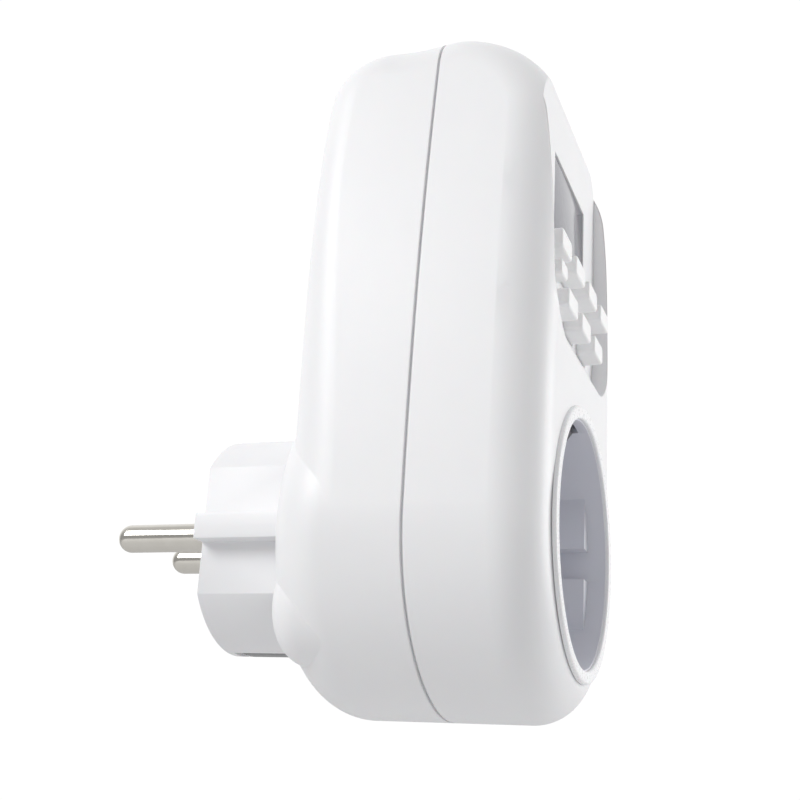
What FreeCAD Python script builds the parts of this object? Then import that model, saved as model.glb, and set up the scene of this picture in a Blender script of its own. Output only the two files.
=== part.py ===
import FreeCAD, Part
import Sketcher
import math
import os

# Plug-in power meter: an earthed two-pin plug behind, a socket below in front, and a display
# with eight keys above the socket.
#
# Frame: millimetres, +Z up. The origin is the middle of the plug's face, where it seats in a
# wall socket. The pins point to +Y, the socket and the display face -Y.

DRIVING = {
    # housing
    "body_width": 57.0,       # across the round lower part
    "body_depth": 44.5,       # front face to back face
    "top_height": 85.5,       # plug axis to crown
    "flank_sweep": 500.0,     # radius of the slightly bowed flanks
    "crown_radius": 20.0,     # seen from the side, in front
    "rear_crown_radius": 12.0,
    "platform": 2.4,          # how far the round platform stands behind the rest of the back
    "front_depth": 21.0,      # front face to the parting seam
    "shell_wall": 2.0,
    "front_edge": 6.0,        # rounding of the front edge round the socket
    "cheek_edge": 8.0,        # the same edge beside the display
    "crown_edge": 8.0,        # rounding along the flanks at the crown
    "rear_edge": 10.5,        # edge of the platform round the plug
    "rear_flank_edge": 10.0,  # back edge up the flanks
    "seam_width": 0.4,
    "seam_groove": 0.5,
    "fairing_radius": 9.2,    # screw fairings beside the plug
    "fairing_inset": 2.25,    # fairing's middle inside the screw's
    "fairing_edge": 5.5,
    # plug
    "plug_dia": 37.0,
    "plug_reach": 15.5,       # back face to plug face
    "plug_flats": 30.4,
    "plug_rib": 4.2,
    "plug_wall": 2.0,
    "plug_face_wall": 3.0,
    "plug_flange": 1.8,
    "flange_setback": 0.8,
    "pin_dia": 4.8,
    "pin_length": 19.0,
    "pin_spacing": 19.0,
    "pin_root": 7.0,          # plug face to the pin's inner end
    "pin_root_dia": 5.4,
    "pin_collar_dia": 7.0,
    "strap_width": 4.4,
    "strap_gauge": 0.8,
    # socket
    "well_dia": 39.6,
    "well_depth": 17.5,
    "well_flats": 32.4,
    "well_groove": 5.3,
    "well_floor": 3.0,
    "floor_spigot": 0.5,      # the floor's face before the seat of the well's wall
    "well_wall": 1.6,
    "land_setback": 3.0,
    "pin_hole_dia": 5.6,
    "rim_width": 2.3,
    "rim_proud": 0.7,
    "clip_width": 6.0,
    "clip_nose": 3.2,
    "shutter_dia": 29.0,
    "shutter_gauge": 2.0,
    "shutter_turn": 32.0,
    "contact_dia": 6.6,
    "contact_setback": 2.5,   # block's depth less the contact's length
    "block_dia": 34.0,
    "block_gap": 1.2,         # block to the plug's earth strap
    # panel, display and keys
    "panel_width": 43.0,
    "panel_bottom": 29.5,
    "panel_corner": 9.0,
    "panel_sink": 2.9,
    "panel_wall": 1.8,
    "glass_width": 24.0,
    "glass_height": 15.0,
    "glass_bottom": 49.5,
    "glass_gauge": 1.2,
    "lcd_width": 27.0,
    "lcd_height": 16.0,
    "lcd_frame_rim": 1.2,
    "lcd_gauge": 1.8,
    "key_width": 7.2,
    "key_height": 3.4,
    "key_proud": 3.1,
    "key_pitch": 10.7,
    "key_row": 45.0,
    "key_row_pitch": 8.0,
    "key_travel": 0.8,
    "key_lip": 0.5,
    "reset_width": 4.4,
    "reset_height": 2.6,
    "reset_drop": 5.1,        # upper key row to the small key
    # boards and what they carry
    "board_width": 35.0,
    "board_bottom": 26.0,
    "board_top": 65.0,
    "board_gauge": 1.6,
    "key_board_gauge": 1.2,
    "cell_dia": 11.6,
    "cell_gauge": 5.0,
    "can_dia": 10.0,
    "can_length": 12.0,
    "shunt_length": 5.0,
    "bus_width": 5.0,
    "bus_gauge": 1.0,
    "wire_dia": 1.8,
    "fit_gap": 0.2,
    "screw_dia": 2.9,
    "screw_head_dia": 5.2,
    "screw_head": 2.0,
    "screw_sink": 5.0,        # back face to under the screw's head
    "screw_side": 15.0,
    "screw_drop": 14.0,       # crown to the upper screws
    "boss_wall": 1.8,         # round a screw's pilot hole
    "lug_length": 9.0,
}

doc = FreeCAD.newDocument("PlugInPowerMeter")
sheet = doc.addObject("Spreadsheet::Sheet", "dims")
for row, (alias, value) in enumerate(DRIVING.items(), start=1):
    sheet.set(f"A{row}", alias)
    sheet.set(f"B{row}", str(value))
    sheet.setAlias(f"B{row}", alias)
doc.recompute()


class Size:
    """A length that knows its value and the sheet expression it comes from."""

    def __init__(self, value, text):
        self.value = value
        self.text = text

    def __add__(self, other):
        other = size(other)
        return Size(self.value + other.value, f"({self.text} + {other.text})")

    def __sub__(self, other):
        other = size(other)
        return Size(self.value - other.value, f"({self.text} - {other.text})")

    def __mul__(self, factor):
        return Size(self.value * factor, f"({self.text} * {factor})")

    def __truediv__(self, factor):
        return Size(self.value / factor, f"({self.text} / {factor})")

    def __neg__(self):
        return Size(-self.value, f"(0 - {self.text})")

    __radd__ = __add__


def size(number):
    """Turn a plain number into a Size, and leave a Size as it is."""
    if isinstance(number, Size):
        return number
    return Size(float(number), f"({float(number)})")


def dim(alias):
    """The Size of one cell of the sheet."""
    return Size(float(getattr(sheet, alias)), f"dims.{alias}")


def bind(thing, prop, length):
    """Tie a property to the sheet."""
    thing.setExpression(prop, size(length).text)


# ---------------------------------------------------------------- derived sizes and places
HALF_WIDTH = dim("body_width") / 2
BACK_Y = -dim("plug_reach")
FRONT_Y = BACK_Y - dim("body_depth")
SEAM_Y = FRONT_Y + dim("front_depth")
UPPER_BACK_Y = BACK_Y - dim("platform")
PLUG_R = dim("plug_dia") / 2
PIN_X = dim("pin_spacing") / 2
WELL_R = dim("well_dia") / 2
WELL_OUTER_R = WELL_R + dim("well_wall")
FLOOR_FRONT_Y = FRONT_Y + dim("well_depth")
FLOOR_SEAT_Y = FLOOR_FRONT_Y + dim("floor_spigot")
FLOOR_BACK_Y = FLOOR_FRONT_Y + dim("well_floor")
PANEL_FRONT_Y = FRONT_Y + dim("panel_sink")
PANEL_BACK_Y = PANEL_FRONT_Y + dim("panel_wall")
GAUGE = dim("strap_gauge")
CLIP_MOUTH_Y = FRONT_Y + 2.4
BRACKET_BACK_Y = FLOOR_BACK_Y + GAUGE
SHUTTER_Y = BRACKET_BACK_Y + dim("fit_gap")
BLOCK_Y = SHUTTER_Y + dim("shutter_gauge") + dim("fit_gap")
FLANGE_SEAT_Y = BACK_Y - dim("shell_wall") - dim("flange_setback")
FLANGE_R = PLUG_R + 1.7
PLUG_BASE_Y = FLANGE_SEAT_Y - dim("plug_flange")
STRAP_BAR_Y = PLUG_BASE_Y - GAUGE - dim("fit_gap")
BLOCK_BACK_Y = STRAP_BAR_Y - dim("block_gap")
BLOCK_DEPTH = BLOCK_BACK_Y - BLOCK_Y
CONTACT_LENGTH = BLOCK_DEPTH - dim("contact_setback")
BUS_START_Y = BLOCK_BACK_Y + 1.0
BUS_END_Y = -dim("pin_root")
LCD_Y = PANEL_BACK_Y + 0.1
KEY_BOARD_Y = LCD_Y + dim("lcd_gauge") + 1.6
LCD_LOW = dim("glass_bottom") + dim("glass_height") / 2 - dim("lcd_height") / 2
KEY_BOARD_BACK_Y = KEY_BOARD_Y + dim("key_board_gauge")
CELL_PITCH = dim("cell_gauge") + 0.6
CELL_STACK = CELL_PITCH * 2 + dim("fit_gap")
BOARD_SLACK = (UPPER_BACK_Y - dim("shell_wall") - KEY_BOARD_BACK_Y - CELL_STACK - dim("board_gauge")
               - dim("can_length"))
BOARD_FRONT_Y = KEY_BOARD_BACK_Y + CELL_STACK + BOARD_SLACK / 2
BOARD_BACK_Y = BOARD_FRONT_Y + dim("board_gauge")
SCREW_ANGLE = 42.0            # lower screws, below sideways
SCREW_COS = round(math.cos(math.radians(SCREW_ANGLE)), 6)
SCREW_SIN = round(math.sin(math.radians(SCREW_ANGLE)), 6)
SCREW_REACH = PLUG_R + dim("screw_head_dia") / 2 + dim("fit_gap") * 2
LOWER_SCREW_X = SCREW_REACH * SCREW_COS
LOWER_SCREW_Z = -(SCREW_REACH * SCREW_SIN)
BOSS_R = dim("screw_dia") / 2 + dim("boss_wall")
LUG_Y = FLOOR_BACK_Y + dim("lug_length")


# ---------------------------------------------------------------- building blocks
def place(thing, x=0.0, y=0.0, z=0.0, turn=None):
    """Put a primitive at a place tied to the sheet."""
    spot = FreeCAD.Vector(size(x).value, size(y).value, size(z).value)
    thing.Placement = FreeCAD.Placement(spot, turn or FreeCAD.Rotation())
    for axis, length in (("x", x), ("y", y), ("z", z)):
        bind(thing, f"Placement.Base.{axis}", length)
    return thing


def box(name, wide, deep, tall, x=0.0, y=0.0, z=0.0):
    """A box centred on x, from y towards +Y, and from z upwards."""
    thing = doc.addObject("Part::Box", name)
    bind(thing, "Length", wide)
    bind(thing, "Width", deep)
    bind(thing, "Height", tall)
    return place(thing, size(x) - size(wide) / 2, y, z)


ALONG_Y = FreeCAD.Rotation(FreeCAD.Vector(1, 0, 0), -90)
ALONG_X = FreeCAD.Rotation(FreeCAD.Vector(0, 1, 0), 90)


def rod(name, radius, length, x=0.0, y=0.0, z=0.0, turn=ALONG_Y):
    """A cylinder that starts at a place and runs towards +Y, or along another axis."""
    thing = doc.addObject("Part::Cylinder", name)
    bind(thing, "Radius", radius)
    bind(thing, "Height", length)
    return place(thing, x, y, z, turn)


def ball(name, radius, x=0.0, y=0.0, z=0.0):
    """A ball about a point."""
    thing = doc.addObject("Part::Sphere", name)
    bind(thing, "Radius", radius)
    return place(thing, x, y, z)


def ring(name, outer, inner, length, y):
    """A tube about the plug axis that starts at y."""
    return cut(name, rod(f"{name}_solid", outer, length, y=y),
               rod(f"{name}_bore", inner, size(length) + 2.0, y=size(y) - 1.0))


def fuse(name, *things):
    """One solid of several."""
    thing = doc.addObject("Part::MultiFuse", name)
    thing.Shapes = list(things)
    thing.Refine = True
    return thing


def cut(name, base, *tools):
    """A solid with others taken out of it."""
    thing = doc.addObject("Part::Cut", name)
    thing.Base = base
    thing.Tool = tools[0] if len(tools) == 1 else fuse(f"{name}_tools", *tools)
    return thing


def common(name, *things):
    """What several solids share."""
    thing = doc.addObject("Part::MultiCommon", name)
    thing.Shapes = list(things)
    return thing


def group(name, *things):
    """Separate solids that are one sub-part, such as a set of screws."""
    thing = doc.addObject("Part::Compound", name)
    thing.Links = list(things)
    return thing


def rounded(name, base, pairs):
    """Round edges: pairs of an edge test and its radius, or its radii from low to high."""
    doc.recompute()
    edges = []
    for number, edge in enumerate(base.Shape.Edges, start=1):
        for test, radii in pairs:
            if not test(edge):
                continue
            low, high = radii if isinstance(radii, tuple) else (radii, radii)
            rising = edge.valueAt(edge.FirstParameter).z < edge.valueAt(edge.LastParameter).z
            edges.append((number, low, high) if rising else (number, high, low))
            break
    thing = doc.addObject("Part::Fillet", name)
    thing.Base = base
    thing.Edges = edges
    return thing


def origin_plane(body, role):
    """One of a body's own origin planes."""
    return [plane for plane in body.Origin.OriginFeatures if plane.Role == role][0]


def new_sketch(body, name, role):
    """An empty sketch on one of the body's origin planes."""
    sketch = body.newObject("Sketcher::SketchObject", name)
    sketch.AttachmentSupport = [(origin_plane(body, role), "")]
    sketch.MapMode = "FlatFace"
    return sketch


ORIGIN = -1
START, END, CENTRE = 1, 2, 3


def constrain(sketch, kind, *where, length=None):
    """Add one constraint, with its length tied to the sheet."""
    if length is None:
        return sketch.addConstraint(Sketcher.Constraint(kind, *where))
    number = sketch.addConstraint(Sketcher.Constraint(kind, *where, size(length).value))
    sketch.setExpression(f"Constraints[{number}]", size(length).text)
    return number


def polygon(sketch, corners):
    """A closed outline through corners, each a pair of Sizes."""
    points = [FreeCAD.Vector(size(a).value, size(b).value, 0) for a, b in corners]
    count = len(points)
    for index in range(count):
        sketch.addGeometry(Part.LineSegment(points[index], points[(index + 1) % count]), False)
    for index, (a, b) in enumerate(corners):
        constrain(sketch, "Coincident", (index - 1) % count, END, index, START)
        constrain(sketch, "DistanceX", ORIGIN, 1, index, START, length=a)
        constrain(sketch, "DistanceY", ORIGIN, 1, index, START, length=b)


def padded(body, sketch, length, both_ways=False, back=False):
    """Pad a sketch along its plane's normal."""
    pad = body.newObject("PartDesign::Pad", f"{body.Name}_pad{len(body.Group)}")
    pad.Profile = sketch
    bind(pad, "Length", length)
    pad.Midplane = both_ways
    pad.Reversed = back
    sketch.Visibility = False
    body.Tip = pad
    return pad


def prism(name, role, corners, length, both_ways=False, back=False, x=0.0, y=0.0, z=0.0):
    """A body padded from a straight-sided outline on an origin plane."""
    body = doc.addObject("PartDesign::Body", name)
    sketch = new_sketch(body, f"{name}_sketch", role)
    polygon(sketch, corners)
    padded(body, sketch, length, both_ways, back)
    return place(body, x, y, z)


# ---------------------------------------------------------------- housing
def front_outline(name, inset):
    """The housing seen from in front: a half circle below, bowed flanks above."""
    body = doc.addObject("PartDesign::Body", name)
    sketch = new_sketch(body, f"{name}_sketch", "XZ_Plane")
    radius = HALF_WIDTH - inset
    sweep = dim("flank_sweep") - inset
    over = dim("top_height") + 14.0
    lean = math.asin(over.value / sweep.value)
    reach = sweep.value - radius.value
    top_x = sweep.value * math.cos(lean) - reach
    axis = FreeCAD.Vector(0, 0, 1)
    middle = FreeCAD.Vector(0, 0, 0)
    bottom = Part.ArcOfCircle(Part.Circle(middle, axis, radius.value), math.pi, 2 * math.pi)
    right = Part.ArcOfCircle(Part.Circle(FreeCAD.Vector(-reach, 0, 0), axis, sweep.value), 0.0, lean)
    top = Part.LineSegment(FreeCAD.Vector(top_x, over.value, 0), FreeCAD.Vector(-top_x, over.value, 0))
    left = Part.ArcOfCircle(Part.Circle(FreeCAD.Vector(reach, 0, 0), axis, sweep.value),
                            math.pi - lean, math.pi)
    for edge in (bottom, right, top, left):
        sketch.addGeometry(edge, False)
    constrain(sketch, "Coincident", 0, CENTRE, ORIGIN, 1)
    constrain(sketch, "Radius", 0, length=radius)
    constrain(sketch, "PointOnObject", 0, END, ORIGIN)
    constrain(sketch, "Coincident", 0, END, 1, START)
    constrain(sketch, "Coincident", 1, END, 2, START)
    constrain(sketch, "Coincident", 2, END, 3, START)
    constrain(sketch, "Coincident", 3, END, 0, START)
    constrain(sketch, "PointOnObject", 0, START, ORIGIN)
    constrain(sketch, "PointOnObject", 1, CENTRE, ORIGIN)
    constrain(sketch, "PointOnObject", 3, CENTRE, ORIGIN)
    constrain(sketch, "Radius", 1, length=sweep)
    constrain(sketch, "Radius", 3, length=sweep)
    constrain(sketch, "DistanceY", ORIGIN, 1, 2, START, length=over)
    constrain(sketch, "DistanceY", ORIGIN, 1, 2, END, length=over)
    padded(body, sketch, dim("body_depth") - dim("platform") - size(inset) * 2)
    return place(body, y=UPPER_BACK_Y - inset)


def side_outline(name, inset):
    """The housing seen from the side: flat front and back, both rounded over at the crown."""
    front = FRONT_Y + inset
    back = UPPER_BACK_Y - inset
    top = dim("top_height") - inset
    low = -dim("body_width")
    body = prism(name, "YZ_Plane", [(front, low), (back, low), (back, top), (front, top)],
                 dim("body_width") * 1.2, both_ways=True)
    return body


def housing_block(name, inset):
    """The outer form of the housing, or its cavity when it is inset by the wall."""
    inset = size(inset)
    front, back = (FRONT_Y + inset).value, (UPPER_BACK_Y - inset).value
    middle = (front + back) / 2

    def across_top(edge):
        return edge.BoundBox.XLength > 10 and edge.BoundBox.ZMin > 0

    side = rounded(f"{name}_side", side_outline(f"{name}_side_block", inset),
                   [(lambda e: across_top(e) and e.BoundBox.YMax < middle,
                     (dim("crown_radius") - inset).value),
                    (across_top, (dim("rear_crown_radius") - inset).value)])
    block = common(f"{name}_block", front_outline(f"{name}_front_block", inset), side)

    def flat_at(edge, y):
        box_ = edge.BoundBox
        return abs(box_.YMin - y) < 0.01 and abs(box_.YMax - y) < 0.01 and box_.XLength < 2 * HALF_WIDTH.value

    def below(edge):
        return edge.BoundBox.ZMax < 0.01

    def flank(edge):
        return edge.BoundBox.ZLength > 20

    def crowned(edge):
        return edge.BoundBox.YLength > 3 and edge.BoundBox.ZMin > 20 and edge.BoundBox.XLength < 20

    edge_of = {key: (dim(key) - inset / 2).value for key in
               ("front_edge", "cheek_edge", "crown_edge", "rear_edge", "rear_flank_edge")}
    hull = rounded(f"{name}_hull", block, [
        (lambda e: below(e) and e.BoundBox.YMax < front + 0.01, edge_of["front_edge"]),
        (lambda e: below(e) and e.BoundBox.YMin > back - 0.01, edge_of["rear_flank_edge"]),
        (lambda e: flat_at(e, front) and flank(e), (edge_of["front_edge"], edge_of["cheek_edge"])),
        (lambda e: flat_at(e, back) and flank(e), edge_of["rear_flank_edge"]),
        (lambda e: crowned(e) and e.BoundBox.ZLength > 3 and e.BoundBox.YMax < middle,
         (edge_of["cheek_edge"], edge_of["crown_edge"])),
        (lambda e: crowned(e) and e.BoundBox.ZLength > 3 and e.BoundBox.YMin > middle,
         (edge_of["rear_flank_edge"], edge_of["crown_edge"])),
        (crowned, edge_of["crown_edge"]),
    ])
    start = SEAM_Y + 1.0
    disc = rounded(f"{name}_platform",
                   rod(f"{name}_platform_disc", HALF_WIDTH - inset, BACK_Y - inset - start, y=start),
                   [(lambda e: e.BoundBox.YMin > (BACK_Y - inset).value - 0.01, edge_of["rear_edge"])])
    return fuse(name, hull, disc)


def slab_between(name, low_y, high_y):
    """A wide block that keeps only what lies between two planes across Y."""
    wide = dim("body_width") * 2
    return box(name, wide, size(high_y) - low_y, dim("top_height") * 3, y=low_y, z=-dim("top_height"))


def panel_outline(name, grow, low_y, high_y):
    """The sunk panel's form: straight sides, round lower corners, open at the top."""
    half = dim("panel_width") / 2 + grow
    corner = dim("panel_corner") + grow
    low = dim("panel_bottom") - grow
    deep = size(high_y) - low_y
    tall = dim("top_height") + 10.0 - low
    upper = box(f"{name}_upper", half * 2, deep, tall - corner, y=low_y, z=low + corner)
    lower = box(f"{name}_lower", (half - corner) * 2, deep, tall, y=low_y, z=low)
    left = rod(f"{name}_left", corner, deep, -half + corner, low_y, low + corner)
    right = rod(f"{name}_right", corner, deep, half - corner, low_y, low + corner)
    return fuse(name, upper, lower, left, right)


KEYS = {}
for column in range(4):
    KEYS[f"key_{column + 1}"] = (dim("key_pitch") * (column - 1.5), dim("key_row"))
for column in range(3):
    KEYS[f"key_{column + 5}"] = (dim("key_pitch") * (column - 1.0), dim("key_row") - dim("key_row_pitch"))
RESET_X = -(dim("key_pitch") + (dim("key_width") + dim("reset_width")) / 2 + dim("key_lip") * 2
            + dim("fit_gap"))
RESET_AT = (RESET_X, dim("key_row") - dim("reset_drop"))


def key_cut(name, wide, tall, x, z):
    """The hole in the panel that a key slides in."""
    gap = dim("fit_gap")
    return box(f"{name}_hole", wide + gap * 2, dim("panel_sink") + dim("panel_wall") + 2.0,
               tall + gap * 2, x=x, y=FRONT_Y - 1.0, z=z - tall / 2 - gap)


def screw_places():
    """The four housing screws: two beside the plug and two below the crown."""
    for side in (-1, 1):
        yield f"low{side + 1}", LOWER_SCREW_X * side, LOWER_SCREW_Z
    for side in (-1, 1):
        yield f"high{side + 1}", dim("screw_side") * side, dim("top_height") - dim("screw_drop")


def screw_seat(name):
    """Where a screw's head seats: sunk in the platform, or in the back above it."""
    return (BACK_Y if name.startswith("low") else UPPER_BACK_Y) - dim("screw_sink")


def front_shell():
    """The front half: socket opening, sunk panel with its holes, pillars for the upper screws."""
    outside = common("front_outside", housing_block("front_hull", 0.0),
                     slab_between("front_half", FRONT_Y - 1.0, SEAM_Y))
    hollow = cut("front_hollow", common("front_cavity", housing_block("front_inner", dim("shell_wall")),
                                        slab_between("front_inner_half", FRONT_Y, SEAM_Y + 1.0)),
                 panel_outline("panel_pad", dim("panel_wall"), FRONT_Y - 1.0, PANEL_BACK_Y))
    pillars = []
    pilots = []
    for name, x, z in list(screw_places())[2:]:
        pillars.append(rod(f"front_pillar_{name}", BOSS_R, SEAM_Y - PANEL_BACK_Y, x, PANEL_BACK_Y, z))
        pilots.append(rod(f"front_pilot_{name}", dim("screw_dia") / 2, SEAM_Y - PANEL_BACK_Y - 4.0,
                          x, PANEL_BACK_Y + 5.0, z))
    post_x = dim("lcd_width") / 2 + dim("lcd_frame_rim") + 1.5
    posts = [box(f"key_post_{side + 1}", 2.4, KEY_BOARD_Y - PANEL_BACK_Y + 0.4, 3.0,
                 x=post_x * side, y=PANEL_BACK_Y - 0.4, z=dim("glass_bottom") + 6.0)
             for side in (-1, 1)]
    holes = [key_cut(name, dim("key_width"), dim("key_height"), x, z) for name, (x, z) in KEYS.items()]
    holes.append(key_cut("key_reset", dim("reset_width"), dim("reset_height"), *RESET_AT))
    window = box("window_hole", dim("glass_width"), dim("panel_sink") + dim("panel_wall") + 2.0,
                 dim("glass_height"), y=FRONT_Y - 1.0, z=dim("glass_bottom"))
    recess = panel_outline("panel_recess", 0.0, FRONT_Y - 1.0, PANEL_FRONT_Y)
    mouth = rod("socket_mouth", WELL_OUTER_R + 0.05, dim("shell_wall") + 2.0, y=FRONT_Y - 1.0)
    groove = cut("seam_groove_front",
                 common("seam_band", housing_block("seam_outer", -0.2),
                        slab_between("seam_slab", SEAM_Y - dim("seam_width"), SEAM_Y + 0.5)),
                 housing_block("seam_inner", dim("seam_groove")))
    wall = cut("front_wall", outside, hollow)
    full = fuse("front_solid", wall, *pillars, *posts)
    trimmed = common("front_trimmed", full, outside)
    return cut("front_shell", trimmed, recess, window, mouth, groove, *holes, *pilots)


def rear_shell():
    """The rear half: fairings beside the plug, screw pillars, and the hole for the plug."""
    outside = common("rear_outside", housing_block("rear_hull", 0.0),
                     slab_between("rear_half", SEAM_Y, BACK_Y + 1.0))
    hollow = common("rear_cavity", housing_block("rear_inner", dim("shell_wall")),
                    slab_between("rear_inner_half", SEAM_Y - 1.0, BACK_Y))
    fairings = []
    pillars = []
    bores = []
    for side in (-1, 1):
        reach = SCREW_REACH - dim("fairing_inset")
        x = reach * (side * SCREW_COS)
        z = -(reach * SCREW_SIN)
        plain = rod(f"fairing_plain_{side + 1}", dim("fairing_radius"), BACK_Y - SEAM_Y, x, SEAM_Y, z)
        fairings.append(rounded(f"fairing_{side + 1}", plain,
                                [(lambda e: e.BoundBox.YMin > BACK_Y.value - 0.01,
                                  dim("fairing_edge").value)]))
    for name, x, z in screw_places():
        foot = LUG_Y + dim("fit_gap") if name.startswith("low") else SEAM_Y
        pillars.append(rod(f"rear_pillar_{name}", dim("screw_head_dia") / 2 + 1.0, BACK_Y - 1.0 - foot,
                           x, foot, z))
        bores.append(rod(f"rear_bore_{name}", dim("screw_dia") / 2 + 0.2, dim("body_depth"),
                         x, FRONT_Y, z))
        bores.append(rod(f"rear_sink_{name}", dim("screw_head_dia") / 2 + 0.2, dim("screw_sink") + 3.0,
                         x, screw_seat(name), z))
    faired = fuse("rear_faired", outside, *fairings)
    collar = ring("plug_collar", FLANGE_R, PLUG_R + 0.05, dim("flange_setback") + 1.5, FLANGE_SEAT_Y)
    trimmed = common("rear_pillars", fuse("rear_pillars_full", *pillars, collar), faired)
    full = fuse("rear_solid", cut("rear_wall", faired, hollow), trimmed)
    opening = rod("plug_opening", PLUG_R + 0.05, dim("shell_wall") + 4.0, y=BACK_Y - dim("shell_wall") - 2.0)
    room_deep = dim("plug_flange") + dim("fit_gap")
    flange_room = rod("flange_room", FLANGE_R + 0.1, room_deep, y=FLANGE_SEAT_Y - room_deep)
    return cut("rear_shell", full, opening, flange_room, *bores)


# ---------------------------------------------------------------- plug
def plug_form(name, shrink, low_y, deep):
    """The plug's round form with its side flats, and a rib left standing on each flat."""
    radius = PLUG_R - shrink
    flat = dim("plug_flats") / 2 - shrink
    blank = rod(f"{name}_blank", radius, deep, y=low_y)
    keep = box(f"{name}_between", flat * 2, deep, dim("plug_dia") + 2.0, y=low_y, z=-(PLUG_R + 1.0))
    ribs = box(f"{name}_ribs", dim("plug_dia") + 2.0, deep, dim("plug_rib") - size(shrink) * 2,
               y=low_y, z=-(dim("plug_rib") / 2 - shrink))
    return common(name, blank, fuse(f"{name}_cross", keep, ribs))


def plug_body():
    """The plug's moulded cup, open to the housing, held by a flange behind the back wall."""
    base_y = PLUG_BASE_Y
    cup = plug_form("plug_outside", 0.0, BACK_Y, dim("plug_reach"))
    neck = rod("plug_neck", PLUG_R, BACK_Y - base_y, y=base_y)
    flange = rod("plug_flange_disc", FLANGE_R, dim("plug_flange"), y=base_y)
    solid = fuse("plug_solid", cup, neck, flange)
    cavity = common("plug_cavity",
                    rod("plug_cavity_round", PLUG_R - dim("plug_wall"), -base_y - dim("plug_face_wall") + 1.0,
                        y=base_y - 1.0),
                    box("plug_cavity_flats", dim("plug_flats") - dim("plug_wall") * 2,
                        -base_y - dim("plug_face_wall") + 1.0, dim("plug_dia"), y=base_y - 1.0, z=-PLUG_R))
    tools = [cavity]
    for side in (-1, 1):
        tools.append(rod(f"plug_pin_hole_{side + 1}", dim("pin_root_dia") / 2, dim("plug_face_wall") + 2.0,
                         PIN_X * side, -dim("plug_face_wall") - 1.0))
        tools.append(box(f"plug_strap_slot_{side + 1}", dim("strap_width") + 0.2, -base_y,
                         dim("strap_width"), y=base_y - 1.5,
                         z=PLUG_R - GAUGE - 0.3 if side > 0 else -PLUG_R + GAUGE + 0.3 - dim("strap_width")))
        tools.append(rod(f"plug_pillar_room_{side + 1}", dim("screw_head_dia") / 2 + 1.2,
                         dim("plug_flange") + 2.0, LOWER_SCREW_X * side, base_y - 2.0, LOWER_SCREW_Z))
    return cut("plug_body", solid, *tools)


def pin(name, side):
    """A solid round pin with a domed tip, a thicker root in the plug's face and a collar behind it."""
    radius = dim("pin_dia") / 2
    collar = 2.0
    shank = rod(f"{name}_shank", radius, dim("pin_length") - radius, PIN_X * side)
    tip = ball(f"{name}_tip", radius, PIN_X * side, dim("pin_length") - radius)
    root = rod(f"{name}_root", dim("pin_root_dia") / 2, dim("pin_root"), PIN_X * side, -dim("pin_root"))
    stop = rod(f"{name}_collar", dim("pin_collar_dia") / 2, collar, PIN_X * side,
               -dim("plug_face_wall") - collar)
    return fuse(name, shank, tip, root, stop)


def plug_earth_strap():
    """The earth strips above and below the plug, joined by a bar inside the housing."""
    outer = PLUG_R - 0.1
    strips = [box(f"strap_strip_{side + 1}", dim("strap_width"), -STRAP_BAR_Y - 2.0, GAUGE,
                  y=STRAP_BAR_Y, z=outer - GAUGE if side > 0 else -outer)
              for side in (-1, 1)]
    bar = box("strap_bar", dim("strap_width"), GAUGE, outer + WELL_R + 0.3 + GAUGE * 2,
              y=STRAP_BAR_Y, z=-outer)
    return fuse("plug_earth_strap", bar, *strips)


# ---------------------------------------------------------------- socket
def screw_web(name, side, start, deep):
    """A rib from the plug axis side out to a lower screw."""
    thick = dim("boss_wall")
    across = thick / 2
    turn = FreeCAD.Rotation(FreeCAD.Vector(0, 1, 0), SCREW_ANGLE if side > 0 else 180.0 - SCREW_ANGLE)
    web = doc.addObject("Part::Box", name)
    bind(web, "Length", SCREW_REACH - WELL_R)
    bind(web, "Width", deep)
    bind(web, "Height", thick)
    return place(web, WELL_R * (SCREW_COS * side) - across * SCREW_SIN, start,
                 -(WELL_R * SCREW_SIN) - across * (SCREW_COS * side), turn)


def clip_slots(name):
    """The slots above and below the well that its earth clips come through."""
    deep = FLOOR_BACK_Y - CLIP_MOUTH_Y + 1.8
    wide = dim("clip_width") + 0.6
    return [box(f"{name}_slot_{side + 1}", wide, deep, 6.0, y=CLIP_MOUTH_Y - 0.8,
                z=WELL_R - 1.6 if side > 0 else -WELL_R - 4.4) for side in (-1, 1)]


def socket_well():
    """The well's wall: round, with a land on each side that is grooved in line with the pin holes."""
    blank = rod("well_blank", WELL_OUTER_R, FLOOR_SEAT_Y - FRONT_Y, y=FRONT_Y)
    past = FLOOR_SEAT_Y - FRONT_Y + 2.0
    round_well = rod("well_round", WELL_R, past, y=FRONT_Y - 1.0)
    between = box("well_between", dim("well_flats"), past, dim("well_dia"), y=FRONT_Y - 1.0, z=-WELL_R)
    mouth = box("well_mouth", dim("well_dia") + 2.0, dim("land_setback") + 1.0, dim("well_dia"),
                y=FRONT_Y - 1.0, z=-WELL_R)
    grooves = box("well_grooves", dim("well_dia") + 2.0, past, dim("well_groove"),
                  y=FRONT_Y - 1.0, z=-dim("well_groove") / 2)
    well = common("well", round_well, fuse("well_cross", between, mouth, grooves))
    return cut("socket_well", blank, well, *clip_slots("well"))


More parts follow.
